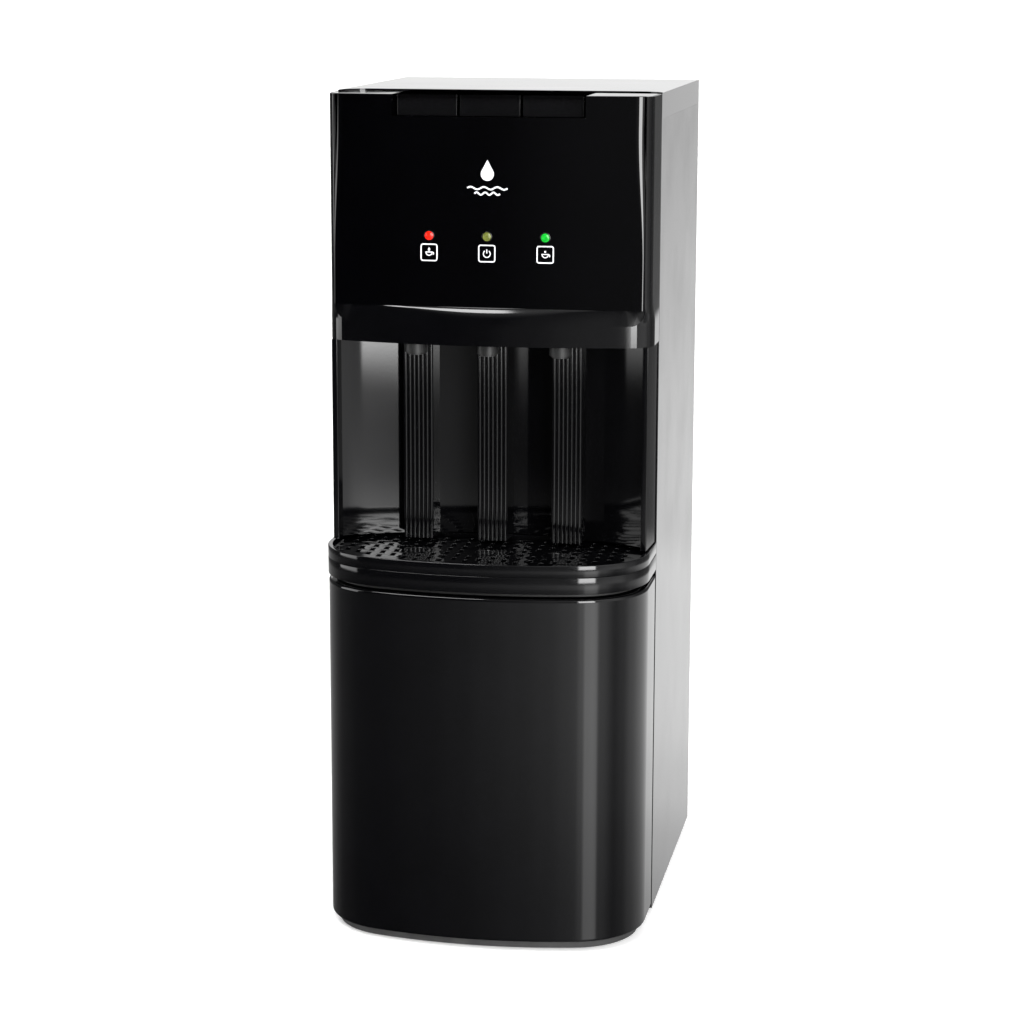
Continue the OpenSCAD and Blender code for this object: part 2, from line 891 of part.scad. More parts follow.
// Rocker with stub pivots, drawn in its off position
module rocker(i, tint) {
    tilt = rocker_swing_deg / 2;
    color(tint)
        switch_at(i) {
            rotate([-tilt, 0, 0])
                box([-switch_w / 2 + 1, -3, -switch_h / 2 + 1.5], [switch_w / 2 - 1, 8, switch_h / 2 - 1.5]);
            rod_x([-switch_w / 2 - 0.6, 0, 0], rocker_r, switch_w + 1.2);
        }
}

module heating_switch() { rocker(-1, [0.8, 0.06, 0.05]); }

module cooling_switch() { rocker(1, [0.05, 0.55, 0.12]); }

module rear_screws() {
    color([0.6, 0.6, 0.62])
        for (at = screw_places())
            rear_screw(at);
}

// ---------- door ----------

// Deep bowed pan that hangs on two pins at its left edge
module door() {
    flange = 24;
    boss_h = 12;
    rear = panel_front_y - 2;
    color([0.03, 0.03, 0.035])
        difference() {
            union() {
                difference() {
                    slab(door_z, door_top - door_z) lower_plan(0.5, door_front - 0.5, rear);
                    slab(door_z + wall_t, door_top - door_z - 2 * wall_t)
                        lower_plan(0.5 + wall_t, door_front - 0.5, rear + 1);
                    slab(door_z - 1, door_top - door_z + 2)
                        lower_plan(0.5 + flange, door_front - 0.5, rear + 1);
                }
                // Bosses round the pins
                for (z = [door_z, door_top - boss_h])
                    slab(z, boss_h) intersection() {
                        translate([hinge_x, hinge_y]) circle(r = 6);
                        lower_plan(0.5, door_front - 0.5, rear);
                    }
            }
            translate([hinge_x, hinge_y, door_z - 1]) cylinder(r = pin_r + running_fit, h = boss_h + 2);
            translate([hinge_x, hinge_y, door_top - boss_h - 1])
                cylinder(r = pin_r + running_fit, h = boss_h + 2);
        }
}

// Upper and lower pins, fixed in the decks
module door_pins() {
    color([0.7, 0.7, 0.72]) {
        translate([hinge_x, hinge_y, foot_h]) cylinder(r = pin_r, h = door_z - foot_h + pin_in_door);
        translate([hinge_x, hinge_y, door_top - pin_in_door])
            cylinder(r = pin_r, h = deck_top - door_top + pin_in_door);
    }
}

// Magnet under the deck, just behind the rear edge of the door
module catch_magnet() {
    color([0.25, 0.25, 0.25])
        box([catch_x - 8, panel_front_y - 1.7, deck_z - 16], [catch_x + 8, panel_front_y + 23, deck_z]);
}

// Steel plate that the magnet pulls, hung under the door's top flange
module strike_plate() {
    color([0.75, 0.75, 0.77])
        box([catch_x - 6, panel_front_y - 4.5, door_top - 14],
            [catch_x + 6, panel_front_y - 2.5, door_top - wall_t]);
}

// ---------- drip drawer ----------

// Plan of the drawer: the bowed front and a tongue that runs back under the alcove wall
module drawer_plan(inset) {
    lower_plan(inset, front_y, panel_front_y - 1.5 - inset);
    translate([-half_w + 8 + inset, panel_front_y - 30])
        square([body_w - 16 - 2 * inset, 43 - inset]);
}

module drip_tray() {
    color([0.03, 0.03, 0.035])
        difference() {
            slab(tray_z, tray_top - tray_z) drawer_plan(0);
            slab(tray_z + 2.5, tray_top) drawer_plan(2.5);
        }
}

// True where a slot of the grille keeps clear of the rim
function inside_rim(x, y) =
    y > front_y + 16 + x * x / (2 * lower_bow_r) &&
    (abs(x) < 100 || y > corner_y(half_w, front_y, lower_bow_r, lower_corner_r)
                        - sqrt(max(0, pow(54, 2) - pow(abs(x) - half_w + lower_corner_r, 2))));

module drip_grille() {
    slot_w = 4.4;
    slot_l = 11;
    column_pitch = 12;
    row_pitch = 17;
    column_n = 11;
    plate_top = rim_top - 3;
    plate_t = 2.4;
    color([0.03, 0.03, 0.035])
        difference() {
            slab(cover_z, cover_h) drawer_plan(0);
            slab(cover_z - 1, plate_top - plate_t - cover_z + 1) drawer_plan(3);
            slab(plate_top, 10) drawer_plan(5);
            for (c = [-column_n : column_n], k = [0 : 7]) {
                x = c * column_pitch;
                y = front_y + 18 + k * row_pitch + (c % 2 == 0 ? 0 : row_pitch / 2);
                if (inside_rim(x, y) && inside_rim(x, y - slot_l / 2) && y + slot_l / 2 < panel_front_y + 2)
                    box([x - slot_w / 2, y - slot_l / 2, plate_top - plate_t - 1],
                        [x + slot_w / 2, y + slot_l / 2, plate_top + 1]);
            }
        }
}

base_pan();
feet();
left_side_panel();
right_side_panel();
rear_panel();
bay_partition();
mid_deck();
top_lid();
head_shell();
head_base_plate();
face_panel();
alcove_liner();
fluted_pillars();
nozzle_hot();
nozzle_room();
nozzle_cold();
valve_hot();
valve_room();
valve_cold();
lamp_hot();
lamp_power();
lamp_cold();
control_board();
key_frame();
key_axle();
key_switches();
key_hot();
key_room();
key_cold();
cold_tank();
cold_tank_jacket();
hot_tank();
heater_band();
thermostats();
cold_tube();
hot_tube();
room_tube();
supply_tube();
compressor();
compressor_mounts();
filter_dryer();
condenser_coil();
filter_bracket();
sediment_filter();
carbon_filter();
polishing_filter();
water_inlet();
drain_outlet();
power_inlet();
wiring_loom();
switch_housings();
heating_switch();
cooling_switch();
door();
door_pins();
catch_magnet();
strike_plate();
drip_tray();
drip_grille();
rear_screws();
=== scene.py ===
"""Looks of a free-standing three-tap water dispenser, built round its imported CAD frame."""
import json
from math import asin, cos, pi, radians, sin, sqrt, tan

import bmesh
import bpy
from mathutils import Matrix, Vector


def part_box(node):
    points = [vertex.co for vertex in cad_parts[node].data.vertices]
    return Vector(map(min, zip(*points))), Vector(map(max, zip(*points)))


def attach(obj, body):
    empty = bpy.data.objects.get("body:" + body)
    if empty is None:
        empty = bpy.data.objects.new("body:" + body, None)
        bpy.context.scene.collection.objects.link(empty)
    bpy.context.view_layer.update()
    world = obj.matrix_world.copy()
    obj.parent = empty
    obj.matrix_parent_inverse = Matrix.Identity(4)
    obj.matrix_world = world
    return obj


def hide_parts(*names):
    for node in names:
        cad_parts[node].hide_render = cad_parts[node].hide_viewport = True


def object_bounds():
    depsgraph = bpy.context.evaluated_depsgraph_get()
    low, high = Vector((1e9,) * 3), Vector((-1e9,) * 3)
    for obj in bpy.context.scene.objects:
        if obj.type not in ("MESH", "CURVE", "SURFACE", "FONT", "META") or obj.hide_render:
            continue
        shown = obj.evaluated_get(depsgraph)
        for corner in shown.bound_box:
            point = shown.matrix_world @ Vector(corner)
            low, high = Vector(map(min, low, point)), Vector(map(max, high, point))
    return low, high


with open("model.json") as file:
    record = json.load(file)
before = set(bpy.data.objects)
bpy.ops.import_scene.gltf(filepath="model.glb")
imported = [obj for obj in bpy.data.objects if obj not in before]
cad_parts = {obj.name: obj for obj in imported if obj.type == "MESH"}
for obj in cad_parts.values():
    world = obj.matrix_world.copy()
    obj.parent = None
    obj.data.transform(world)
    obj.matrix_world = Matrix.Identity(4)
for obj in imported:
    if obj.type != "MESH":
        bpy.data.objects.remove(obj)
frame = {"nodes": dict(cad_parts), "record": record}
CAD_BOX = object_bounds()
MM = 0.001

# ---------------------------------------------------------------- sizes taken from the frame

LOW, HIGH = CAD_BOX
HALF_W = HIGH.x
FRONT_Y = LOW.y
PANEL_FRONT_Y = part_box("right_side_panel")[0].y
DOOR_LOW, DOOR_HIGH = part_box("door")
SHELL_LOW, SHELL_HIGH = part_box("head_shell")
TRAY_LOW, TRAY_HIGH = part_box("drip_tray")
GRILLE_LOW, GRILLE_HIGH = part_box("drip_grille")
FACE_LOW, FACE_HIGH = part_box("face_panel")
KEY_LOW, KEY_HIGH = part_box("key_hot")
KEYS = ("key_hot", "key_room", "key_cold")
LAMPS = ("lamp_hot", "lamp_power", "lamp_cold")

# Curves of the fronts, as in the CAD source
LOWER_BOW_R = 440 * MM
LOWER_CORNER_R = 72 * MM
LIP_BOW_R = 600 * MM
LIP_CORNER_R = 24 * MM
HEAD_BOW_R = 2000 * MM
HEAD_CORNER_R = 14 * MM
FACE_BOW_R = 3000 * MM
FACE_LEAN = tan(radians(2))
WALL_T = 3 * MM

LIP_TOP = SHELL_LOW.z + 20 * MM
LIP_FRONT = SHELL_LOW.y
HEAD_FRONT = FRONT_Y + 74.5 * MM
FACE_FOOT_Y = FRONT_Y + 72 * MM
WINDOW_HALF = HALF_W - 7.5 * MM
WINDOW_CORNER_R = 13 * MM
POCKET_HALF = 91 * MM
POCKET_REAR = KEY_HIGH.y + 1.5 * MM
SHELL_REAR = PANEL_FRONT_Y - 1 * MM
FACE_HALF = WINDOW_HALF - 0.3 * MM
STRIP_TAPER = tan(radians(2.5))
SKIN_INSET = 0.1 * MM


# ---------------------------------------------------------------- outlines

def corner_centre_y(half, front, bow, corner):
    """Y of the centre of a corner arc that meets the bow smoothly."""
    return front + bow - sqrt((bow - corner) ** 2 - (half - corner) ** 2)


def half_plan(half, front, rear, bow, corner, bow_steps=40, corner_steps=20):
    """Right half of a bowed plan, from the middle of the front to the rear edge."""
    centre_x = half - corner
    centre_y = corner_centre_y(half, front, bow, corner)
    opening = asin(centre_x / (bow - corner))
    points = []
    for i in range(bow_steps + 1):
        a = opening * i / bow_steps
        points.append((bow * sin(a), front + bow - bow * cos(a)))
    for i in range(1, corner_steps + 1):
        a = opening + (pi / 2 - opening) * i / corner_steps
        points.append((centre_x + corner * sin(a), centre_y - corner * cos(a)))
    points.append((half, rear))
    return points


def full_plan(*sizes):
    """Whole bowed plan, from the left rear round the front to the right rear."""
    right = half_plan(*sizes)
    left = [(-x, y) for x, y in reversed(right[1:])]
    return left + right


def lower_plan(inset, front, rear):
    """Plan of the door and the drawer, which share one bowed front."""
    return full_plan(HALF_W - inset, front + inset, rear, LOWER_BOW_R - inset, LOWER_CORNER_R - inset)


def resample(points, count):
    """The same line with count + 1 evenly spaced points."""
    lengths = [0.0]
    for a, b in zip(points, points[1:]):
        lengths.append(lengths[-1] + sqrt((b[0] - a[0]) ** 2 + (b[1] - a[1]) ** 2))
    result = []
    k = 0
    for i in range(count + 1):
        want = lengths[-1] * i / count
        while k < len(points) - 2 and lengths[k + 1] < want:
            k += 1
        span = lengths[k + 1] - lengths[k]
        t = (want - lengths[k]) / span if span > 0 else 0.0
        a, b = points[k], points[k + 1]
        result.append((a[0] + (b[0] - a[0]) * t, a[1] + (b[1] - a[1]) * t))
    return result


def plan_from(points, start_x):
    """The part of a right half plan that lies beyond start_x."""
    for i, (a, b) in enumerate(zip(points, points[1:])):
        if b[0] >= start_x:
            t = (start_x - a[0]) / (b[0] - a[0])
            return [(start_x, a[1] + (b[1] - a[1]) * t)] + points[i + 1:]
    return points[-2:]


def plan_to_x(points, stop_x, count):
    """The part of a right half plan between the middle and stop_x, evenly spaced."""
    kept = []
    for a, b in zip(points, points[1:]):
        kept.append(a)
        if b[0] >= stop_x:
            t = (stop_x - a[0]) / (b[0] - a[0])
            kept.append((stop_x, a[1] + (b[1] - a[1]) * t))
            break
    return resample(kept, count)


def y_on_plan(points, x):
    """Y of a right half plan at x."""
    for a, b in zip(points, points[1:]):
        if b[0] >= x:
            return a[1] + (b[1] - a[1]) * (x - a[0]) / (b[0] - a[0])
    return points[-1][1]


def arc(x, y, r, start, end, steps=24):
    """Points round a centre, between two angles in degrees."""
    angles = [radians(start + (end - start) * i / steps) for i in range(steps + 1)]
    return [(x + r * cos(a), y + r * sin(a)) for a in angles]


def slot_outline(x, y, half_w, half_l, r, steps=5):
    """Rounded slot, drawn counterclockwise."""
    points = []
    for corner_x, corner_y, start in ((1, 1, 0), (-1, 1, 90), (-1, -1, 180), (1, -1, 270)):
        for i in range(steps + 1):
            a = radians(start + 90 * i / steps)
            points.append((x + corner_x * (half_w - r) + r * cos(a),
                           y + corner_y * (half_l - r) + r * sin(a)))
    return points


def circle_outline(x, y, r, steps=40):
    return [(x + r * cos(2 * pi * i / steps), y + r * sin(2 * pi * i / steps)) for i in range(steps)]


def smooth_step(t):
    t = min(1.0, max(0.0, t))
    return t * t * (3 - 2 * t)


# ---------------------------------------------------------------- meshes

def paint(obj, material):
    obj.data.materials.clear()
    obj.data.materials.append(material)


def add_piece(name, mesh, body, slot, *replaced, material=None):
    """A piece that rides on a body and looks like its slot, unless a material is given."""
    obj = bpy.data.objects.new(name, mesh)
    bpy.context.scene.collection.objects.link(obj)
    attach(obj, body)
    if replaced:
        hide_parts(*replaced)
    paint(obj, material or MATERIALS[slot])
    return obj


def tidy_mesh(mesh, sharp_deg=38, merge=0.002 * MM):
    """Merges doubles, turns the faces outward and marks the sharp edges."""
    bm = bmesh.new()
    bm.from_mesh(mesh)
    bmesh.ops.remove_doubles(bm, verts=bm.verts, dist=merge)
    bmesh.ops.dissolve_degenerate(bm, edges=bm.edges, dist=merge)
    bmesh.ops.recalc_face_normals(bm, faces=bm.faces)
    limit = radians(sharp_deg)
    for edge in bm.edges:
        edge.smooth = len(edge.link_faces) == 2 and edge.calc_face_angle(0) < limit
    for face in bm.faces:
        face.smooth = True
    bm.to_mesh(mesh)
    bm.free()


class Builder:
    """Collects shapes into one mesh."""

    def __init__(self):
        self.verts = []
        self.faces = []

    def add(self, points):
        first = len(self.verts)
        self.verts.extend(points)
        return first

    def tube(self, rings, cap_first=True, cap_last=True):
        """Skin over closed rings with the same number of points."""
        n = len(rings[0])
        starts = [self.add(ring) for ring in rings]
        for a, b in zip(starts, starts[1:]):
            for i in range(n):
                j = (i + 1) % n
                self.faces.append((a + i, a + j, b + j, b + i))
        if cap_first:
            self.faces.append(tuple(starts[0] + i for i in range(n)))
        if cap_last:
            self.faces.append(tuple(starts[-1] + i for i in reversed(range(n))))

    def pan(self, levels):
        """Wall between an outer and an inner line; each level is (outer points, inner points)."""
        n = len(levels[0][0])
        starts = []
        for outer, inner in levels:
            starts.append((self.add(outer), self.add(inner)))
        for (a, c), (b, d) in zip(starts, starts[1:]):
            for i in range(n - 1):
                self.faces.append((a + i, a + i + 1, b + i + 1, b + i))
                self.faces.append((c + i + 1, c + i, d + i, d + i + 1))
            self.faces.append((a, b, d, c))
            self.faces.append((b + n - 1, a + n - 1, c + n - 1, d + n - 1))
        for a, c in (starts[0], starts[-1]):
            for i in range(n - 1):
                self.faces.append((a + i, c + i, c + i + 1, a + i + 1))

    def grid(self, rows):
        """Open surface over rows with the same number of points."""
        starts = [self.add(row) for row in rows]
        for a, b in zip(starts, starts[1:]):
            for i in range(len(rows[0]) - 1):
                self.faces.append((a + i, a + i + 1, b + i + 1, b + i))

    def mesh(self, name, **options):
        mesh = bpy.data.meshes.new(name)
        mesh.from_pydata([tuple(v) for v in self.verts], [], self.faces)
        tidy_mesh(mesh, **options)
        return mesh


def face_out(mesh):
    """Turns an open skin so that its faces look away from the middle."""
    bm = bmesh.new()
    bm.from_mesh(mesh)
    centre = Vector((0, PANEL_FRONT_Y, 0))
    total = 0.0
    for face in bm.faces:
        away = face.calc_center_median() - centre
        away.z = 0
        total += face.normal.dot(away) * face.calc_area()
    if total < 0:
        bmesh.ops.reverse_faces(bm, faces=bm.faces)
    bm.to_mesh(mesh)
    bm.free()


def plate_mesh(name, outlines, thickness, edge):
    """Flat plate in the XY plane with holes: the first outline is its edge."""
    curve = bpy.data.curves.new(name, "CURVE")
    curve.dimensions = "2D"
    curve.fill_mode = "BOTH"
    curve.extrude = thickness / 2 - edge
    curve.bevel_depth = edge
    curve.bevel_resolution = 2
    curve.offset = -edge
    for points in outlines:
        spline = curve.splines.new("POLY")
        spline.points.add(len(points) - 1)
        for point, (x, y) in zip(spline.points, points):
            point.co = (x, y, 0, 1)
        spline.use_cyclic_u = True
    holder = bpy.data.objects.new(name, curve)
    bpy.context.scene.collection.objects.link(holder)
    bpy.context.view_layer.update()
    mesh = bpy.data.meshes.new_from_object(holder.evaluated_get(bpy.context.evaluated_depsgraph_get()))
    bpy.data.objects.remove(holder)
    mesh.name = name
    return mesh


def at_z(points, z):
    return [(x, y, z) for x, y in points]


def round_levels(low, high, r, steps=4):
    """(height, inset) pairs of a wall whose two edges are rounded."""
    turn = [pi / 2 * k / steps for k in range(steps + 1)]
    start = [(low + r * (1 - cos(a)), r * (1 - sin(a))) for a in turn]
    end = [(high - r * (1 - cos(a)), r * (1 - sin(a))) for a in reversed(turn)]
    return start + end


def add_modifier(obj, name, kind, **settings):
    modifier = obj.modifiers.new(name, kind)
    for key, value in settings.items():
        setattr(modifier, key, value)
    return modifier


def soften(obj, width, segments=3, weld=False):
    """Rounds the sharp edges and evens the shading."""
    if weld:
        add_modifier(obj, "weld", "WELD", merge_threshold=0.005 * MM)
    add_modifier(obj, "round_edges", "BEVEL", width=width, segments=segments, limit_method="ANGLE",
                 angle_limit=radians(30), use_clamp_overlap=True, miter_outer="MITER_ARC")
    add_modifier(obj, "even_shading", "WEIGHTED_NORMAL", keep_sharp=False, weight=60)


# ---------------------------------------------------------------- materials

class Shader:
    """A Principled material and short ways to add procedural detail to it."""

    def __init__(self, name, colour, roughness, metallic=0.0, **sockets):
        self.material = bpy.data.materials.new(name)
        self.material.use_nodes = True
        self.tree = self.material.node_tree
        self.bsdf = self.tree.nodes["Principled BSDF"]
        self.colour = colour
        self.bsdf.inputs["Base Color"].default_value = (*colour, 1)
        self.bsdf.inputs["Roughness"].default_value = roughness
        self.bsdf.inputs["Metallic"].default_value = metallic
        for key, value in sockets.items():
            self.bsdf.inputs[key.replace("_", " ")].default_value = value
        self.coords = self.node("ShaderNodeTexCoord").outputs["Object"]
        self.last_normal = None

    def node(self, kind, **settings):
        made = self.tree.nodes.new(kind)
        for key, value in settings.items():
            setattr(made, key, value)
        return made

    def join(self, output, target):
        self.tree.links.new(output, target)

    def stretched(self, scale):
        mapping = self.node("ShaderNodeMapping")
        mapping.inputs["Scale"].default_value = scale
        self.join(self.coords, mapping.inputs["Vector"])
        return mapping.outputs["Vector"]

    def noise(self, scale, detail=4.0, stretch=(1, 1, 1), roughness=0.5):
        made = self.node("ShaderNodeTexNoise")
        made.inputs["Scale"].default_value = scale
        made.inputs["Detail"].default_value = detail
        made.inputs["Roughness"].default_value = roughness
        self.join(self.stretched(stretch), made.inputs["Vector"])
        return made.outputs["Fac"]

    def cells(self, scale, stretch=(1, 1, 1), feature="F1"):
        made = self.node("ShaderNodeTexVoronoi", feature=feature)
        made.inputs["Scale"].default_value = scale
        self.join(self.stretched(stretch), made.inputs["Vector"])
        return made.outputs["Distance"]

    def ranged(self, value, low, high, from_low=0.3, from_high=0.7):
        made = self.node("ShaderNodeMapRange", clamp=True)
        made.inputs["From Min"].default_value = from_low
        made.inputs["From Max"].default_value = from_high
        made.inputs["To Min"].default_value = low
        made.inputs["To Max"].default_value = high
        self.join(value, made.inputs["Value"])
        return made.outputs["Result"]

    def vary_roughness(self, value, low, high, **span):
        self.join(self.ranged(value, low, high, **span), self.bsdf.inputs["Roughness"])
        return self

    def vary_colour(self, value, other, from_low=0.35, from_high=0.65):
        mix = self.node("ShaderNodeMix", data_type="RGBA")
        mix.inputs["A"].default_value = (*self.colour, 1)
        mix.inputs["B"].default_value = (*other, 1)
        self.join(self.ranged(value, 0, 1, from_low, from_high), mix.inputs["Factor"])
        self.join(mix.outputs["Result"], self.bsdf.inputs["Base Color"])
        return self

    def bump(self, value, distance, strength=1.0):
        made = self.node("ShaderNodeBump")
        made.inputs["Strength"].default_value = strength
        made.inputs["Distance"].default_value = distance
        self.join(value, made.inputs["Height"])
        if self.last_normal is not None:
            self.join(self.last_normal, made.inputs["Normal"])
        self.last_normal = made.outputs["Normal"]
        self.join(self.last_normal, self.bsdf.inputs["Normal"])
        return self


def gloss_plastic(name, colour, roughness=0.06, peel=0.002 * MM):
    """Polished moulding: faint orange peel and a slightly uneven polish."""
    s = Shader(name, colour, roughness, IOR=1.5)
    s.vary_roughness(s.noise(9, 5), roughness * 0.8, roughness * 1.25)
    s.vary_colour(s.noise(26, 3), tuple(c * 1.3 for c in colour))
    s.bump(s.noise(420, 2), peel)
    return s.material


def enamel(name, colour, roughness=0.1):
    """Sprayed and baked paint on sheet metal."""
    s = Shader(name, colour, roughness, IOR=1.5)
    s.vary_roughness(s.noise(14, 6), roughness * 0.8, roughness * 1.3)
    s.vary_colour(s.noise(60, 3), tuple(c * 1.3 for c in colour))
    s.bump(s.noise(900, 2), 0.003 * MM)
    s.bump(s.noise(18, 1), 0.02 * MM, 0.4)
    return s.material


def textured_plastic(name, colour, roughness=0.5, grain=0.03 * MM):
    """Spark-eroded moulding: a fine leather-like grain."""
    s = Shader(name, colour, roughness)
    s.vary_roughness(s.noise(40, 5), roughness * 0.85, roughness * 1.15)
    s.vary_colour(s.noise(70, 4), tuple(c * 1.35 for c in colour))
    s.bump(s.cells(1400), grain, 0.7)
    s.bump(s.noise(300, 4), grain, 0.5)
    return s.material


def rubber(name, colour):
    s = Shader(name, colour, 0.75)
    s.vary_roughness(s.noise(50, 5), 0.62, 0.88)
    s.vary_colour(s.noise(25, 6), (0.05, 0.05, 0.048))
    s.bump(s.noise(800, 5), 0.03 * MM, 0.8)
    return s.material


def brushed_metal(name, colour, roughness=0.28, stretch=(1, 1, 40)):
    s = Shader(name, colour, roughness, metallic=1.0)
    lines = s.noise(60, 6, stretch)
    s.vary_roughness(lines, roughness * 0.7, roughness * 1.4)
    s.vary_colour(s.noise(30, 4), tuple(c * 0.75 for c in colour))
    s.bump(lines, 0.01 * MM, 0.5)
    return s.material


def zinc_sheet(name, colour):
    """Galvanised or plated steel with its crystal flakes."""
    s = Shader(name, colour, 0.4, metallic=0.9)
    flakes = s.cells(90)
    s.vary_roughness(flakes, 0.3, 0.55, from_low=0.1, from_high=0.6)
    s.vary_colour(flakes, tuple(c * 0.7 for c in colour), 0.1, 0.6)
    s.bump(s.noise(200, 3), 0.01 * MM, 0.5)
    return s.material


def bead_foam(name, colour):
    """Expanded polystyrene: packed beads."""
    s = Shader(name, colour, 0.85)
    beads = s.cells(320)
    s.vary_colour(beads, tuple(c * 0.82 for c in colour), 0.3, 0.7)
    s.vary_roughness(s.noise(40), 0.8, 0.95)
    s.bump(beads, 0.4 * MM, 0.6)
    return s.material


def soft_tube(name, colour):
    s = Shader(name, colour, 0.3, Transmission_Weight=0.25)
    s.vary_roughness(s.noise(60, 4), 0.22, 0.42)
    s.vary_colour(s.noise(20, 3), tuple(c * 0.85 for c in colour))
    s.bump(s.noise(500, 2), 0.01 * MM)
    return s.material


def circuit_board(name, colour):
    s = Shader(name, colour, 0.35)
    tracks = s.cells(260, feature="DISTANCE_TO_EDGE")
    s.vary_colour(tracks, (0.05, 0.32, 0.12), 0.02, 0.08)
    s.vary_roughness(s.noise(90), 0.25, 0.45)
    s.bump(tracks, 0.05 * MM, 0.6)
    return s.material


def copper(name, colour):
    s = Shader(name, colour, 0.3, metallic=1.0)
    s.vary_colour(s.noise(45, 6), (0.38, 0.17, 0.09))
    s.vary_roughness(s.noise(80, 5), 0.2, 0.5)
    s.bump(s.noise(400, 3), 0.01 * MM)
    return s.material


def mica(name, colour):
    s = Shader(name, colour, 0.45, metallic=0.3)
    s.vary_colour(s.cells(150), tuple(c * 0.6 for c in colour), 0.1, 0.6)
    s.vary_roughness(s.noise(70, 5), 0.35, 0.6)
    s.bump(s.noise(250, 5), 0.05 * MM)
    return s.material


def lit_lens(name, colour, glow):
    """Glowing lamp lens with a finely moulded surface."""
    s = Shader(name, colour, 0.12, IOR=1.5)
    prisms = s.noise(900, 2)
    s.vary_roughness(s.noise(300), 0.06, 0.2)
    s.vary_colour(prisms, tuple(c * 0.35 for c in colour))
    s.bump(prisms, 0.1 * MM, 0.6)
    s.bsdf.inputs["Emission Color"].default_value = (*colour, 1)
    s.bsdf.inputs["Emission Strength"].default_value = glow
    return s.material


def white_print_painted_glow(name):
    """Screen-printed ink, slightly broken at its edges, with a painted glow that makes it shine on its own.
    """
    s = Shader(name, (0.78, 0.78, 0.8), 0.45)
    s.vary_colour(s.noise(700, 4), (0.62, 0.62, 0.65))
    s.vary_roughness(s.noise(200), 0.35, 0.6)
    s.bump(s.noise(900, 3), 0.01 * MM)
    # Painted glow: the ink gives off a faint light of its own, so it reads brighter than its lighting makes
    # it
    s.bsdf.inputs["Emission Color"].default_value = (0.8, 0.8, 0.85, 1)
    s.bsdf.inputs["Emission Strength"].default_value = 0.35
    return s.material


def make_materials():
    black = (0.0011, 0.0011, 0.0014)
    return {
        "gloss_black_plastic": gloss_plastic("gloss_black_plastic", black),
        "gloss_black_steel": enamel("gloss_black_steel", (0.003, 0.003, 0.0033)),
        "face_gloss": gloss_plastic("face_gloss", (0.0003, 0.0003, 0.0005), 0.03, 0.0005 * MM),
        "tray_black": gloss_plastic("tray_black", black, 0.1, 0.004 * MM),
        "frame_black": textured_plastic("frame_black", (0.012, 0.012, 0.012)),
        "base_black": textured_plastic("base_black", (0.03, 0.03, 0.03), 0.6),
        "key_black": gloss_plastic("key_black", (0.003, 0.003, 0.0034), 0.1, 0.004 * MM),
        "lamp_red": lit_lens("lamp_red", (0.85, 0.012, 0.004), 0.85),
        "lamp_dim": lit_lens("lamp_dim", (0.15, 0.17, 0.035), 0.3),
        "lamp_green": lit_lens("lamp_green", (0.006, 0.36, 0.025), 0.7),
        "board_green": circuit_board("board_green", (0.03, 0.2, 0.07)),
        "steel": brushed_metal("steel", (0.62, 0.62, 0.63)),
        "zinc": zinc_sheet("zinc", (0.55, 0.56, 0.58)),
        "galvanised": zinc_sheet("galvanised", (0.5, 0.51, 0.52)),
        "foam": bead_foam("foam", (0.86, 0.86, 0.83)),
        "white_plastic": textured_plastic("white_plastic", (0.78, 0.78, 0.76), 0.4, 0.01 * MM),
        "tube_clear": soft_tube("tube_clear", (0.72, 0.75, 0.8)),
        "wire_black": rubber("wire_black", (0.02, 0.02, 0.022)),
        "copper": copper("copper", (0.72, 0.42, 0.25)),
        "mica": mica("mica", (0.5, 0.45, 0.33)),
        "coil_black": enamel("coil_black", (0.02, 0.02, 0.02), 0.38),
        "compressor_black": enamel("compressor_black", (0.012, 0.012, 0.012), 0.25),
        "rubber_black": rubber("rubber_black", (0.02, 0.02, 0.02)),
        "switch_red": gloss_plastic("switch_red", (0.5, 0.012, 0.012), 0.2),
        "switch_green": gloss_plastic("switch_green", (0.01, 0.28, 0.05), 0.2),
        "ferrite": textured_plastic("ferrite", (0.05, 0.05, 0.05), 0.55),
    }


MATERIALS = make_materials()
INK = white_print_painted_glow("white_ink_painted_glow")
SLOT_OF = {part["node"]: part["material_slot"] for part in frame["record"]["subparts"]}


def dress_cad_nodes():
    """Gives every CAD node its material, and rounds the edges of all but the pierced rear panel."""
    plain_edge = 0.4 * MM
    edges = {"condenser_coil": 0.1 * MM, "rear_screws": 0.15 * MM, "key_axle": 0.1 * MM}
    edges.update({key: 0.8 * MM for key in KEYS})
    for name, obj in frame["nodes"].items():
        for slot in obj.material_slots:
            slot.material = MATERIALS[SLOT_OF[name]]
        if name != "rear_panel":
            soften(obj, edges.get(name, plain_edge), 2, weld=True)


# ---------------------------------------------------------------- door

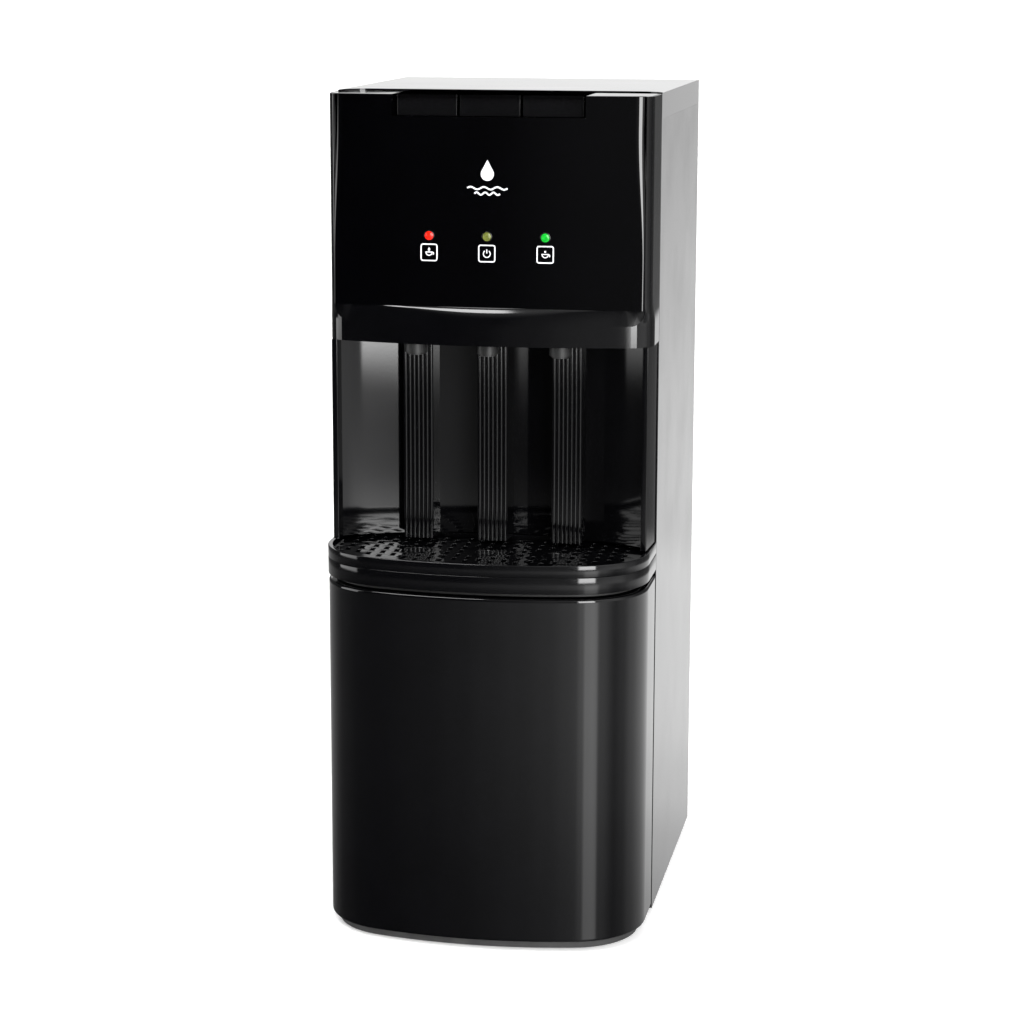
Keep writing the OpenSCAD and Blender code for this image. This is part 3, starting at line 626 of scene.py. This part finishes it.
def build_door():
    """Bowed pan with rounded edges, an inner flange and the bosses of its hinge."""
    flange = 24 * MM
    front = DOOR_LOW.y
    rear = DOOR_HIGH.y
    edge_r = 2.2 * MM
    gap = 0.5 * MM
    levels = []
    for z, inset in round_levels(DOOR_LOW.z, DOOR_HIGH.z, edge_r):
        outer = lower_plan(gap + inset, front - gap, rear)
        near_edge = min(z - DOOR_LOW.z, DOOR_HIGH.z - z) < WALL_T
        inner_inset = gap + (flange if near_edge else WALL_T)
        levels.append((z, outer, lower_plan(inner_inset, front - gap, rear)))
    shape = lower_plan(gap, front - gap, rear)
    rim = lower_plan(gap + flange, front - gap, rear)
    inside = lower_plan(gap + WALL_T, front - gap, rear)
    middle = len(levels) // 2
    low, high = DOOR_LOW.z + WALL_T, DOOR_HIGH.z - WALL_T
    extra = [(low, shape, rim), (low, shape, inside), (high, shape, inside), (high, shape, rim)]
    levels[middle:middle] = extra
    b = Builder()
    b.pan([(at_z(outer, z), at_z(inner, z)) for z, outer, inner in levels])
    pin_low, pin_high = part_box("door_pins")
    boss = circle_outline((pin_low.x + pin_high.x) / 2, (pin_low.y + pin_high.y) / 2, 4 * MM, 32)
    boss_tall = 11.5 * MM
    for base in (DOOR_LOW.z + 0.5 * MM, DOOR_HIGH.z - 12 * MM):
        b.tube([at_z(boss, base), at_z(boss, base + boss_tall)])
    add_piece("door_shell", b.mesh("door_shell"), "door", "gloss_black_plastic", "door")


# ---------------------------------------------------------------- drip drawer

def drawer_plan(inset):
    """Closed outline of the drawer: the bowed front and a narrower tongue at the rear."""
    tongue_half = HALF_W - 8 * MM
    wide_rear = PANEL_FRONT_Y - 1.5 * MM - inset
    rear = TRAY_HIGH.y - inset
    front = lower_plan(inset, FRONT_Y, wide_rear)
    half = tongue_half - inset
    return front + [(half, wide_rear), (half, rear), (-half, rear), (-half, wide_rear)]


def build_drip_tray():
    """Basin of the drawer."""
    floor_t = 2.5 * MM
    wall = 2.5 * MM
    r = 0.4 * MM
    rings = [at_z(drawer_plan(inset), z) for z, inset in round_levels(TRAY_LOW.z, TRAY_HIGH.z, r)]
    rings.append(at_z(drawer_plan(wall), TRAY_HIGH.z))
    rings.append(at_z(drawer_plan(wall), TRAY_LOW.z + floor_t + r))
    rings.append(at_z(drawer_plan(wall + r), TRAY_LOW.z + floor_t))
    b = Builder()
    b.tube(rings)
    add_piece("drip_basin", b.mesh("drip_basin"), "drip_drawer", "tray_black", "drip_tray")


def inside_rim(x, y):
    """True where a slot keeps clear of the rim."""
    margin = 14 * MM
    centre_x = HALF_W - LOWER_CORNER_R
    centre_y = corner_centre_y(HALF_W, FRONT_Y, LOWER_BOW_R, LOWER_CORNER_R)
    if abs(x) > centre_x and y < centre_y:
        return sqrt((abs(x) - centre_x) ** 2 + (y - centre_y) ** 2) < LOWER_CORNER_R - margin
    from_bow = sqrt(x * x + (FRONT_Y + LOWER_BOW_R - y) ** 2)
    return from_bow < LOWER_BOW_R - margin and abs(x) < HALF_W - margin - 2 * MM


TARGET_R = 11.5 * MM
TARGET_Y = FRONT_Y + 65 * MM
TARGET_PITCH = 66 * MM


def near_target(x, y):
    """True where a slot would run into the ring round a dish."""
    clear = TARGET_R + 7 * MM
    return any((x - i * TARGET_PITCH) ** 2 + (y - TARGET_Y) ** 2 < clear ** 2 for i in (-1, 0, 1))


def dish_rings(x, plate_top):
    """Shallow dish under a tap, from its edge to its middle and back underneath."""
    section = ((TARGET_R + 0.4 * MM, 0.0), (TARGET_R, 0.25 * MM), (TARGET_R - 1.2 * MM, 0.1 * MM),
               (TARGET_R - 2.2 * MM, -1.0 * MM), (TARGET_R - 6 * MM, -1.6 * MM), (1 * MM, -1.7 * MM),
               (1 * MM, -2.3 * MM), (TARGET_R + 0.4 * MM, -2.3 * MM))
    return [at_z(circle_outline(x, TARGET_Y, radius), plate_top + z) for radius, z in section]


def grille_slots():
    """Staggered slots, clear of the rim and of the dishes."""
    column_pitch, row_pitch = 12 * MM, 17 * MM
    first_row = 18 * MM
    half_w, half_l = 2.2 * MM, 5.5 * MM
    rear_limit = PANEL_FRONT_Y + 2 * MM
    slots = []
    for column in range(-11, 12):
        for row in range(8):
            x = column * column_pitch
            y = FRONT_Y + first_row + row * row_pitch + (row_pitch / 2 if column % 2 else 0)
            ends = (y - half_l, y + half_l)
            if ends[1] < rear_limit and all(inside_rim(x, end) for end in ends) and not near_target(x, y):
                slots.append(slot_outline(x, y, half_w, half_l, 1.6 * MM))
    return slots


def build_grille():
    """Rim, plate with staggered slots, and a shallow dish under each tap."""
    plate_top = GRILLE_HIGH.z - 3 * MM
    plate_t = 2.4 * MM
    rim_w = 5 * MM
    skirt_w = 3 * MM
    r = 0.8 * MM
    levels = round_levels(GRILLE_LOW.z, GRILLE_HIGH.z, r)
    levels = [(z, min(inset, 0.3 * MM) if z < plate_top - plate_t else inset) for z, inset in levels]
    rings = [at_z(drawer_plan(inset), z) for z, inset in levels]
    for z, inset in reversed(round_levels(plate_top - plate_t - 1.5 * MM, GRILLE_HIGH.z, r)):
        if z > plate_top - 1 * MM:
            rings.append(at_z(drawer_plan(rim_w - inset), z))
    rings.append(at_z(drawer_plan(rim_w), plate_top - plate_t))
    rings.append(at_z(drawer_plan(skirt_w), plate_top - plate_t))
    rings.append(at_z(drawer_plan(skirt_w), GRILLE_LOW.z))
    rings.append(rings[0])
    b = Builder()
    b.tube(rings, cap_first=False, cap_last=False)
    for i in (-1, 0, 1):
        b.tube(dish_rings(i * TARGET_PITCH, plate_top))
    rim = b.mesh("grille_rim")

    outlines = [drawer_plan(4.6 * MM)]
    for i in (-1, 0, 1):
        outlines.append(circle_outline(i * TARGET_PITCH, TARGET_Y, TARGET_R + 0.1 * MM))
    outlines += grille_slots()
    plate = plate_mesh("grille_plate", outlines, plate_t, 0.35 * MM)
    plate.transform(Matrix.Translation((0, 0, plate_top - plate_t / 2)))
    bm = bmesh.new()
    bm.from_mesh(rim)
    bm.from_mesh(plate)
    bm.to_mesh(rim)
    bm.free()
    tidy_mesh(rim)
    add_piece("grille_plate_and_rim", rim, "drip_drawer", "tray_black", "drip_grille")


# ---------------------------------------------------------------- head

def window_half(z):
    """Half width of the window in the head at a height, with round lower corners."""
    above = z - LIP_TOP
    if above >= WINDOW_CORNER_R:
        return WINDOW_HALF
    across = sqrt(max(0.0, WINDOW_CORNER_R ** 2 - (WINDOW_CORNER_R - above) ** 2))
    return WINDOW_HALF - WINDOW_CORNER_R + across


def lip_half_plan(inset=0.0):
    return half_plan(HALF_W - inset, LIP_FRONT + inset, SHELL_REAR, LIP_BOW_R - inset, LIP_CORNER_R - inset)


def head_half_plan(inset=0.0):
    return half_plan(HALF_W - inset, HEAD_FRONT + inset, SHELL_REAR,
                     HEAD_BOW_R - inset, HEAD_CORNER_R - inset)


def taper(x, y):
    """Narrows the part beyond the window toward the front, like the draft of a moulding."""
    beyond = HALF_W - WINDOW_HALF
    most = 0.85
    share = min(most, STRIP_TAPER * max(0.0, SHELL_REAR - y) / beyond)
    return min(x, WINDOW_HALF) + max(0.0, x - WINDOW_HALF) * (1 - share)


def strip_row(z, count=64):
    """Points of the head's right side at a height, from the window's edge to the rear."""
    start = window_half(z)
    lip = resample(plan_from(lip_half_plan(SKIN_INSET), start), count)
    head = resample(plan_from(head_half_plan(SKIN_INSET), start), count)
    t = smooth_step((z - LIP_TOP) / (1.6 * WINDOW_CORNER_R))
    row = []
    for a, b in zip(lip, head):
        x, y = a[0] + (b[0] - a[0]) * t, a[1] + (b[1] - a[1]) * t
        row.append((x + (taper(x, y) - x) * t, y))
    return row


def build_head_shell():
    """Lip, side strips round the window and the rear walls, as one skin with a thickness."""
    b = Builder()
    middle_steps = 60
    top = SHELL_HIGH.z
    corner_rows = [LIP_TOP + WINDOW_CORNER_R * (1 - cos(pi / 2 * k / 14)) for k in range(1, 15)]
    corner_top = LIP_TOP + WINDOW_CORNER_R
    upper_rows = [corner_top + (top - LIP_TOP - WINDOW_CORNER_R) * k / 24 for k in range(1, 25)]
    lip_rows = [SHELL_LOW.z + (LIP_TOP - SHELL_LOW.z) * k / 4 for k in range(5)]
    side_low = strip_row(LIP_TOP)
    start = side_low[0][0]
    front = plan_to_x(lip_half_plan(SKIN_INSET), start, middle_steps)
    whole = [(-x, y) for x, y in reversed(side_low)] + [(-x, y) for x, y in reversed(front[1:-1])]
    whole += front[:-1] + side_low
    b.grid([at_z(whole, z) for z in lip_rows])
    for side in (-1, 1):
        heights = [LIP_TOP] + corner_rows + upper_rows
        b.grid([at_z([(side * x, y) for x, y in strip_row(z)], z) for z in heights])
    mesh = b.mesh("head_surround")
    shell = add_piece("head_surround", mesh, "cabinet", "gloss_black_plastic", "head_shell")
    add_modifier(shell, "wall", "SOLIDIFY", thickness=WALL_T * 0.8, offset=-1, use_even_offset=True)
    soften(shell, 0.7 * MM)
    face_out(shell.data)


def face_y(x, z):
    """Depth of the glossy face at a place, before its rolled edges."""
    return FACE_FOOT_Y + FACE_BOW_R - sqrt(FACE_BOW_R ** 2 - x * x) + (z - FACE_LOW.z) * FACE_LEAN


def rolled(x, z):
    """How far the face's left and right edges roll back; the roll is widest at the top."""
    share = smooth_step((z - FACE_LOW.z - 40 * MM) / (FACE_HIGH.z - FACE_LOW.z - 70 * MM))
    width = (2.0 + 8.0 * share) * MM
    beyond = abs(x) - (FACE_HALF - width)
    if beyond <= 0:
        return 0.0
    beyond = min(beyond, width * 0.999)
    return 0.55 * (width - sqrt(width ** 2 - beyond ** 2))


def build_face():
    """Glossy face: bowed, leaning back, notched for the keys, with rolled side edges."""
    thickness = 2.2 * MM
    notch_z = KEY_LOW.z
    foot = FACE_LOW.z
    rows_low = [foot + (notch_z - foot) * k / 40 for k in range(41)]
    rows_high = [notch_z + (FACE_HIGH.z - notch_z) * k / 6 for k in range(7)]
    notch_half = POCKET_HALF + 0.1 * MM

    def columns(low, high, count):
        return [low + (high - low) * k / count for k in range(count + 1)]

    def half_columns(z):
        half = min(FACE_HALF, window_half(z) - 0.3 * MM)
        split = half - 11 * MM
        return columns(notch_half, split, 12)[:-1] + columns(split, half, 24)

    def point(x, z):
        return (x, face_y(x, z) + rolled(x, z), z)

    b = Builder()
    middle = columns(-notch_half, notch_half, 48)
    full = []
    for z in rows_low:
        right = half_columns(z)
        xs = [-x for x in reversed(right)] + middle[1:-1] + right
        full.append([point(x, z) for x in xs])
    b.grid(full)
    for side in (-1, 1):
        b.grid([[point(side * x, z) for x in half_columns(z)] for z in rows_high])
    panel = add_piece("glossy_face", b.mesh("glossy_face"), "cabinet", "face_gloss", "face_panel")
    face_out(panel.data)
    add_modifier(panel, "wall", "SOLIDIFY", thickness=thickness, offset=-1, use_even_offset=True)
    soften(panel, 0.8 * MM)


def build_ledge():
    """Crescent shelf between the foot of the face and the edge of the lip."""
    rise = FACE_LOW.z - LIP_TOP
    steps = 16
    count = 72
    lip = lip_half_plan(0.6 * MM)
    b = Builder()
    rows = []
    for k in range(steps + 1):
        t = k / steps
        z = LIP_TOP - 1.2 * MM + (rise + 1.6 * MM) * t
        half = window_half(max(LIP_TOP, z)) - 0.2 * MM
        out = 1 - t
        bulge = sqrt(1 - (1 - out) ** 2) * 0.45 + out * 0.55
        row = []
        for i in range(-count, count + 1):
            x = half * i / count
            front = y_on_plan(lip, abs(x))
            back = face_y(x, FACE_LOW.z) + 0.8 * MM
            row.append((x, back + (front - back) * bulge, z))
        rows.append(row)
    b.grid(rows)
    ledge = add_piece("face_ledge", b.mesh("face_ledge"), "cabinet", "gloss_black_plastic")
    face_out(ledge.data)
    add_modifier(ledge, "wall", "SOLIDIFY", thickness=2 * MM, offset=-1, use_even_offset=False)


def build_head_top():
    """Top plate of the head with its tongue under the lid, notched for the keys."""
    tongue_rear = SHELL_HIGH.y
    half = HALF_W - 1 * MM
    r = 26 * MM
    front_half = half_plan(HALF_W - 0.7 * MM, HEAD_FRONT + 0.7 * MM, SHELL_REAR, HEAD_BOW_R, HEAD_CORNER_R)
    outer = [(POCKET_HALF, face_y(POCKET_HALF, FACE_HIGH.z) + 1.5 * MM)]
    outer += [(WINDOW_HALF, face_y(WINDOW_HALF, FACE_HIGH.z) + 5 * MM)]
    outer += [(taper(px, py), py) for px, py in front_half if px > WINDOW_HALF]
    for k in range(11):
        a = pi / 2 * k / 10
        outer.append((half - r + r * cos(a), tongue_rear - r + r * sin(a)))
    left = [(-x, y) for x, y in reversed(outer)]
    notch = [(-POCKET_HALF, POCKET_REAR), (POCKET_HALF, POCKET_REAR)]
    mesh = plate_mesh("head_top", [outer + left + notch], WALL_T, 0.4 * MM)
    mesh.transform(Matrix.Translation((0, 0, SHELL_HIGH.z - WALL_T / 2)))
    tidy_mesh(mesh)
    add_piece("head_top", mesh, "cabinet", "gloss_black_plastic")


def build_key_pocket():
    """Side walls and floor of the pocket round the keys, up to the back of the glossy face."""
    front = face_y(POCKET_HALF, KEY_LOW.z) + 2 * MM
    wall_half = 1.1 * MM
    wall_x = POCKET_HALF + 1.2 * MM
    wall_top = SHELL_HIGH.z - 0.6 * MM
    floor_low = KEY_LOW.z - 3 * MM
    floor_top = KEY_LOW.z - 0.6 * MM
    floor_rear = KEY_LOW.y - 0.7 * MM
    b = Builder()
    for side in (-1, 1):
        wall = slot_outline(side * wall_x, (front + POCKET_REAR) / 2,
                            wall_half, (POCKET_REAR - front) / 2, 0.4 * MM)
        b.tube([at_z(wall, floor_low), at_z(wall, wall_top)])
    shelf = slot_outline(0, (front + floor_rear) / 2, POCKET_HALF, (floor_rear - front) / 2, 0.8 * MM)
    b.tube([at_z(shelf, floor_low), at_z(shelf, floor_top)])
    pocket = add_piece("key_pocket", b.mesh("key_pocket"), "cabinet", "gloss_black_plastic")
    soften(pocket, 0.3 * MM, 2)


# ---------------------------------------------------------------- alcove

ALCOVE_HALF = HALF_W - 9 * MM
ALCOVE_R = 280 * MM
ALCOVE_BACK = PANEL_FRONT_Y + 7 * MM
PILLAR_W = 29 * MM
FLUTES = 7


def alcove_y(x, r):
    """Depth of an arc about the alcove's centre."""
    return ALCOVE_BACK - ALCOVE_R + sqrt(r * r - x * x)


def build_alcove():
    """Curved back wall and the two tapered columns that carry the head."""
    low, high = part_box("alcove_liner")
    steps = 40
    arc_rows = [ALCOVE_HALF * i / steps for i in range(steps + 1)]
    front = low.y + 0.2 * MM
    rear_y = SHELL_REAR - 0.2 * MM
    nose = 1.0 * MM
    wall_t = 2.8 * MM
    outer_half = HALF_W - 1.2 * MM
    outer_front = outer_half - STRIP_TAPER * (SHELL_REAR - front)
    right = [(x, alcove_y(x, ALCOVE_R)) for x in arc_rows]
    right += arc(ALCOVE_HALF + nose, front + nose, nose, 180, 270, 8)
    right += arc(outer_front - nose, front + nose, nose, 275, 352, 8)
    right += [(outer_half, rear_y), (ALCOVE_HALF, rear_y)]
    right += [(x, alcove_y(x, ALCOVE_R + wall_t)) for x in reversed(arc_rows)]
    inner = right[:-(steps + 1)]
    rear = right[-(steps + 1):]
    outline = inner + rear
    outline += [(-x, y) for x, y in reversed(rear[:-1])]
    outline += [(-x, y) for x, y in reversed(inner[1:])]
    b = Builder()
    b.tube([at_z(outline, low.z + (high.z - low.z) * k / 6) for k in range(7)])
    add_piece("alcove_wall", b.mesh("alcove_wall"), "cabinet", "gloss_black_plastic", "alcove_liner")


def build_pillars():
    """Three pillars whose fronts are rows of round ribs."""
    low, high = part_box("fluted_pillars")
    pitch = PILLAR_W / FLUTES
    rib = 1.55 * MM
    centre_y = low.y + rib
    rise = (high.x - low.x - PILLAR_W) / 2
    b = Builder()
    for i in (-1, 0, 1):
        x = i * rise
        outline = [(x - PILLAR_W / 2, centre_y)]
        for k in range(FLUTES):
            outline += arc(x + (k - (FLUTES - 1) / 2) * pitch, centre_y, rib, 180, 360, 14)
        outline.append((x + PILLAR_W / 2, centre_y))
        for step in range(7):
            across = x + PILLAR_W / 2 - PILLAR_W * step / 6
            outline.append((across, alcove_y(across, ALCOVE_R) - 0.1 * MM))
        b.tube([at_z(outline, z) for z in (low.z, (low.z + high.z) / 2, high.z)])
    add_piece("ribbed_pillars", b.mesh("ribbed_pillars"), "cabinet", "gloss_black_plastic", "fluted_pillars")


# ---------------------------------------------------------------- symbols and lamps

def ribbon(points, width, closed=False):
    """The left and right sides of a line of constant width."""
    count = len(points)
    left, right = [], []
    for i, (x, y) in enumerate(points):
        a = points[i - 1] if (i > 0 or closed) else points[i]
        b = points[(i + 1) % count] if (i < count - 1 or closed) else points[i]
        dx, dy = b[0] - a[0], b[1] - a[1]
        length = sqrt(dx * dx + dy * dy)
        nx, ny = -dy / length * width / 2, dx / length * width / 2
        left.append((x + nx, y + ny))
        right.append((x - nx, y - ny))
    return left, right


def stroke(points, width, closed=False):
    """A drawn line as a flat shape; a closed one keeps its inner side as a hole."""
    left, right = ribbon(points, width, closed)
    return [[left, right]] if closed else [[left + right[::-1]]]


def rounded_square(half, r):
    return slot_outline(0, 0, half, half, r)


def drop(x, y, r, tall):
    """Water drop: a round foot drawn up to a point."""
    points = arc(x, y, r, 150, 390, 30)
    return points + [(x, y + tall)]


LINE = 0.85 * MM


def cup_symbol(steam):
    shapes = stroke(arc(0, 0.3 * MM, 3.0 * MM, 180, 360), LINE)
    shapes += stroke([(-3.5 * MM, 0.3 * MM), (3.5 * MM, 0.3 * MM)], LINE)
    shapes += stroke(arc(3.3 * MM, -0.9 * MM, 1.1 * MM, -80, 80, 12), LINE * 0.8)
    if steam:
        shapes += [[drop(0, 2.6 * MM, 1.1 * MM, 2.3 * MM)]]
    else:
        shapes += [[circle_outline(0, 2.7 * MM, 0.9 * MM, 20)]]
    return shapes


def power_symbol():
    shapes = stroke(arc(0, -0.2 * MM, 3.3 * MM, 125, 415), LINE)
    return shapes + stroke([(0, 3.9 * MM), (0, 0.2 * MM)], LINE)


def print_on_face(name, shapes, x, z):
    """Lays flat shapes, each a list of outlines, on the glossy face as thin ink."""
    ink = 0.12 * MM
    layers = bmesh.new()
    for shape in shapes:
        layers.from_mesh(plate_mesh(name, shape, ink, 0.02 * MM))
    mesh = bpy.data.meshes.new(name)
    layers.to_mesh(mesh)
    layers.free()
    for v in mesh.vertices:
        px, pz = x + v.co.x, z + v.co.y
        v.co = Vector((px, face_y(px, pz) - 0.05 * MM - v.co.z, pz))
    tidy_mesh(mesh)
    add_piece(name, mesh, "cabinet", "face_gloss", material=INK)


def build_symbols():
    icon_drop = 15.5 * MM
    frame_half = 7.6 * MM
    symbols = (cup_symbol(True), power_symbol(), cup_symbol(False))
    for lamp, shapes in zip(LAMPS, symbols):
        low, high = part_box(lamp)
        x, z = (low.x + high.x) / 2, (low.z + high.z) / 2 - icon_drop
        border = stroke(rounded_square(frame_half, 1.9 * MM), 1.1 * MM, closed=True)
        print_on_face("symbol_frame_" + lamp[5:], border, x, z)
        print_on_face("symbol_" + lamp[5:], shapes, x, z)
    mark_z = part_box("lamp_power")[0].z + 62 * MM
    print_on_face("drop_mark", [[drop(0, 0, 6.2 * MM, 13 * MM)]], 0, mark_z)
    for k, half in enumerate((19 * MM, 12 * MM)):
        wave = [(half * (i / 12 - 1), (-13 - 5 * k) * MM + 1.2 * MM * sin(pi * i / 4)) for i in range(25)]
        print_on_face("wave_mark_%d" % (k + 1), stroke(wave, 1.5 * MM), 0, mark_z)


# Section of a lamp's ring, in millimetres: radius, and how far it stands out of the face
RING_PROFILE = ((4.1, -0.3), (4.1, 0.25), (4.35, 0.45), (4.7, 0.4), (4.95, 0.15), (5.0, -0.3))


def build_lamp_bezels():
    """Thin raised ring round each lamp."""
    for lamp in LAMPS:
        low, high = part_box(lamp)
        x, z = (low.x + high.x) / 2, (low.z + high.z) / 2
        rings = []
        for radius, out in RING_PROFILE:
            outline = circle_outline(x, z, radius * MM)
            rings.append([(px, face_y(px, pz) - out * MM, pz) for px, pz in outline])
        rings.append(rings[0])
        b = Builder()
        b.tube(rings, cap_first=False, cap_last=False)
        add_piece("bezel_" + lamp[5:], b.mesh("bezel"), "cabinet", "face_gloss",
                  material=MATERIALS["gloss_black_plastic"])


# ---------------------------------------------------------------- studio

# Brightness round the horizon as (azimuth, level), for surfaces at the height of the head and of the
# door. Azimuth 0 is toward -Y, in front of the object, and 90 is toward +X.
HEAD_HEIGHT = (
    (-180, 1.15), (-163, 1.1), (-154, 0.12), (-134, 0.12), (-100, 0.05), (-40, 0.02), (-20, 0.01),
    (-12, 0.03), (-4, 0.12), (10, 0.3), (60, 1.0), (80, 1.0), (100, 0.5), (125, 0.18), (164, 0.13),
    (168.5, 0.2), (171.8, 1.05), (180, 1.15))
DOOR_HEIGHT = (
    (-180, 1.2), (-138, 0.34), (-94, 0.14), (-60, 0.08), (-38, 0.07), (-24, 0.13), (-15, 0.19),
    (-7, 0.28), (1, 0.38), (9, 0.52), (14, 0.75), (21, 1.5), (28, 1.9), (38, 2.1), (52, 1.0), (76, 0.38),
    (90, 0.5), (108, 0.87), (130, 1.1), (163, 1.16), (180, 1.2))
# Brightness from the floor to the zenith as (elevation, level)
UP_AND_DOWN = (
    (-90, 0.2), (-30, 0.3), (-20, 0.45), (-18.6, 0.6), (-17.6, 0.8), (-15.5, 1.0), (-10.3, 1.1),
    (-7, 0.95), (-3.5, 0.8), (3, 0.95), (30, 1.0), (90, 1.6))
OVERHEAD = ((-90, 0.0), (45, 0.0), (60, 0.5), (90, 0.6))


class Studio:
    """The world's node tree, with short ways to turn a direction into brightness."""

    def __init__(self, name):
        world = bpy.data.worlds.new(name)
        bpy.context.scene.world = world
        world.use_nodes = True
        self.tree = world.node_tree
        self.tree.nodes.clear()
        coords = self.node("ShaderNodeTexCoord")
        parts = self.node("ShaderNodeSeparateXYZ")
        self.join(coords.outputs["Generated"], parts.inputs[0])
        self.x, self.y, self.z = parts.outputs
        toward_front = self.math("MULTIPLY", self.y, -1)
        self.azimuth = self.math("MULTIPLY", self.math("ARCTAN2", self.x, toward_front), 180 / pi)
        self.elevation = self.math("MULTIPLY", self.math("ARCSINE", self.z), 180 / pi)

    def node(self, kind, **settings):
        made = self.tree.nodes.new(kind)
        for key, value in settings.items():
            setattr(made, key, value)
        return made

    def join(self, output, target):
        self.tree.links.new(output, target)

    def feed(self, value, target):
        """Gives an input a number or another node's output."""
        if isinstance(value, (int, float)):
            target.default_value = value
        else:
            self.join(value, target)

    def math(self, operation, a, b=0.0):
        made = self.node("ShaderNodeMath", operation=operation)
        self.feed(a, made.inputs[0])
        self.feed(b, made.inputs[1])
        return made.outputs[0]

    def step(self, value, start, end, low=0, high=1):
        """Smooth change from low to high between start and end."""
        made = self.node("ShaderNodeMapRange", interpolation_type="SMOOTHSTEP")
        self.feed(value, made.inputs["Value"])
        settings = (("From Min", start), ("From Max", end), ("To Min", low), ("To Max", high))
        for key, number in settings:
            made.inputs[key].default_value = number
        return made.outputs["Result"]

    def window(self, value, low, high, soft):
        """1 between low and high, with soft edges."""
        up = self.step(value, low - soft, low + soft)
        down = self.step(value, high - soft, high + soft, 1, 0)
        return self.math("MULTIPLY", up, down)

    def profile(self, value, low, high, stops):
        """Brightness along an angle, from (angle, level) stops."""
        ramp = self.node("ShaderNodeValToRGB")
        ramp.color_ramp.interpolation = "EASE"
        peak = max(level for _, level in stops)
        elements = ramp.color_ramp.elements
        while len(elements) < len(stops):
            elements.new(0.5)
        for element, (angle, level) in zip(elements, stops):
            element.position = (angle - low) / (high - low)
            element.color = (level / peak,) * 3 + (1,)
        along = self.math("DIVIDE", self.math("SUBTRACT", value, low), high - low)
        self.feed(along, ramp.inputs["Fac"])
        return self.math("MULTIPLY", ramp.outputs["Color"], peak)

    def soft_box(self, az_low, az_high, el_low, el_high, power, soft):
        """Upright soft box between two azimuths and two elevations."""
        across = self.window(self.azimuth, az_low, az_high, soft)
        upward = self.window(self.elevation, el_low, el_high, soft)
        return self.math("MULTIPLY", self.math("MULTIPLY", across, upward), power)

    def ceiling_box(self, x_low, x_high, y_low, y_high, power, soft):
        """Flat soft box overhead, measured on a ceiling one metre up."""
        height = self.math("MAXIMUM", self.z, 0.01)
        across = self.window(self.math("DIVIDE", self.x, height), x_low, x_high, soft)
        along = self.window(self.math("DIVIDE", self.y, height), y_low, y_high, soft)
        return self.math("MULTIPLY", self.math("MULTIPLY", across, along), power)


def world_light():
    """Surround with three upright soft boxes and one overhead; the camera itself sees plain white."""
    studio = Studio("studio")
    math = studio.math
    head_level = studio.profile(studio.azimuth, -180, 180, HEAD_HEIGHT)
    door_level = studio.profile(studio.azimuth, -180, 180, DOOR_HEIGHT)
    up_and_down = studio.profile(studio.elevation, -90, 90, UP_AND_DOWN)
    overhead = studio.profile(studio.elevation, -90, 90, OVERHEAD)
    # The head's surround gives way to the door's at this elevation, a little lower toward the right
    limit = studio.step(studio.azimuth, 60, 100, -11.2, -12.3)
    head_share = studio.step(math("SUBTRACT", studio.elevation, limit), -0.5, 0.5)
    door_share = math("SUBTRACT", 1.0, head_share)
    around = math("ADD", math("MULTIPLY", head_level, head_share), math("MULTIPLY", door_level, door_share))
    total = math("ADD", math("MULTIPLY", around, up_and_down), overhead)
    boxes = (studio.soft_box(18, 41, -8.2, 40, 13, 0.6),
             studio.soft_box(-98, -62, -8.2, 40, 3, 0.6),
             studio.soft_box(25, 46, -24, -11.4, 1.0, 2.5),
             studio.ceiling_box(-0.6, -0.17, -0.55, -0.2, 14, 0.01))
    for box in boxes:
        total = math("ADD", total, box)

    shaded = studio.node("ShaderNodeBackground")
    studio.join(total, shaded.inputs["Color"])
    plain = studio.node("ShaderNodeBackground")
    plain.inputs["Color"].default_value = (1, 1, 1, 1)
    plain.inputs["Strength"].default_value = 1.0
    path = studio.node("ShaderNodeLightPath")
    mix = studio.node("ShaderNodeMixShader")
    studio.join(path.outputs["Is Camera Ray"], mix.inputs["Fac"])
    studio.join(shaded.outputs[0], mix.inputs[1])
    studio.join(plain.outputs[0], mix.inputs[2])
    studio.join(mix.outputs[0], studio.node("ShaderNodeOutputWorld").inputs["Surface"])


def build_floor():
    """Pale studio floor, large enough to fill the view."""
    reach = 90.0
    near = 2.0
    lines = (-reach, -near, near, reach)
    b = Builder()
    b.grid([[(x, y, 0.0) for x in lines] for y in lines])
    mesh = bpy.data.meshes.new("floor")
    mesh.from_pydata(b.verts, [], b.faces)
    floor = bpy.data.objects.new("floor", mesh)
    bpy.context.scene.collection.objects.link(floor)
    s = Shader("pale_floor", (0.9, 0.9, 0.9), 0.6, Specular_IOR_Level=0.0)
    s.bsdf.inputs["Emission Color"].default_value = (1, 1, 1, 1)
    s.bsdf.inputs["Emission Strength"].default_value = 0.35
    paint(floor, s.material)
    floor.visible_glossy = False


def build_camera():
    """Camera in front, a little to the right and above, aimed slightly down."""
    turn, down, roll = radians(10.47), radians(11.56), radians(-0.12)
    camera = bpy.data.objects.new("camera", bpy.data.cameras.new("camera"))
    bpy.context.scene.collection.objects.link(camera)
    camera.location = (0.478, -2.601, 0.924)
    camera.rotation_euler = (pi / 2 - down, roll, turn)
    camera.data.lens = 94.9
    camera.data.sensor_width = 36
    bpy.context.scene.camera = camera


build_camera()
world_light()
build_floor()
dress_cad_nodes()
build_door()
build_drip_tray()
build_grille()
build_head_shell()
build_face()
build_ledge()
build_head_top()
build_key_pocket()
build_alcove()
build_pillars()
build_symbols()
build_lamp_bezels()
bpy.context.scene.view_settings.view_transform = "Standard"
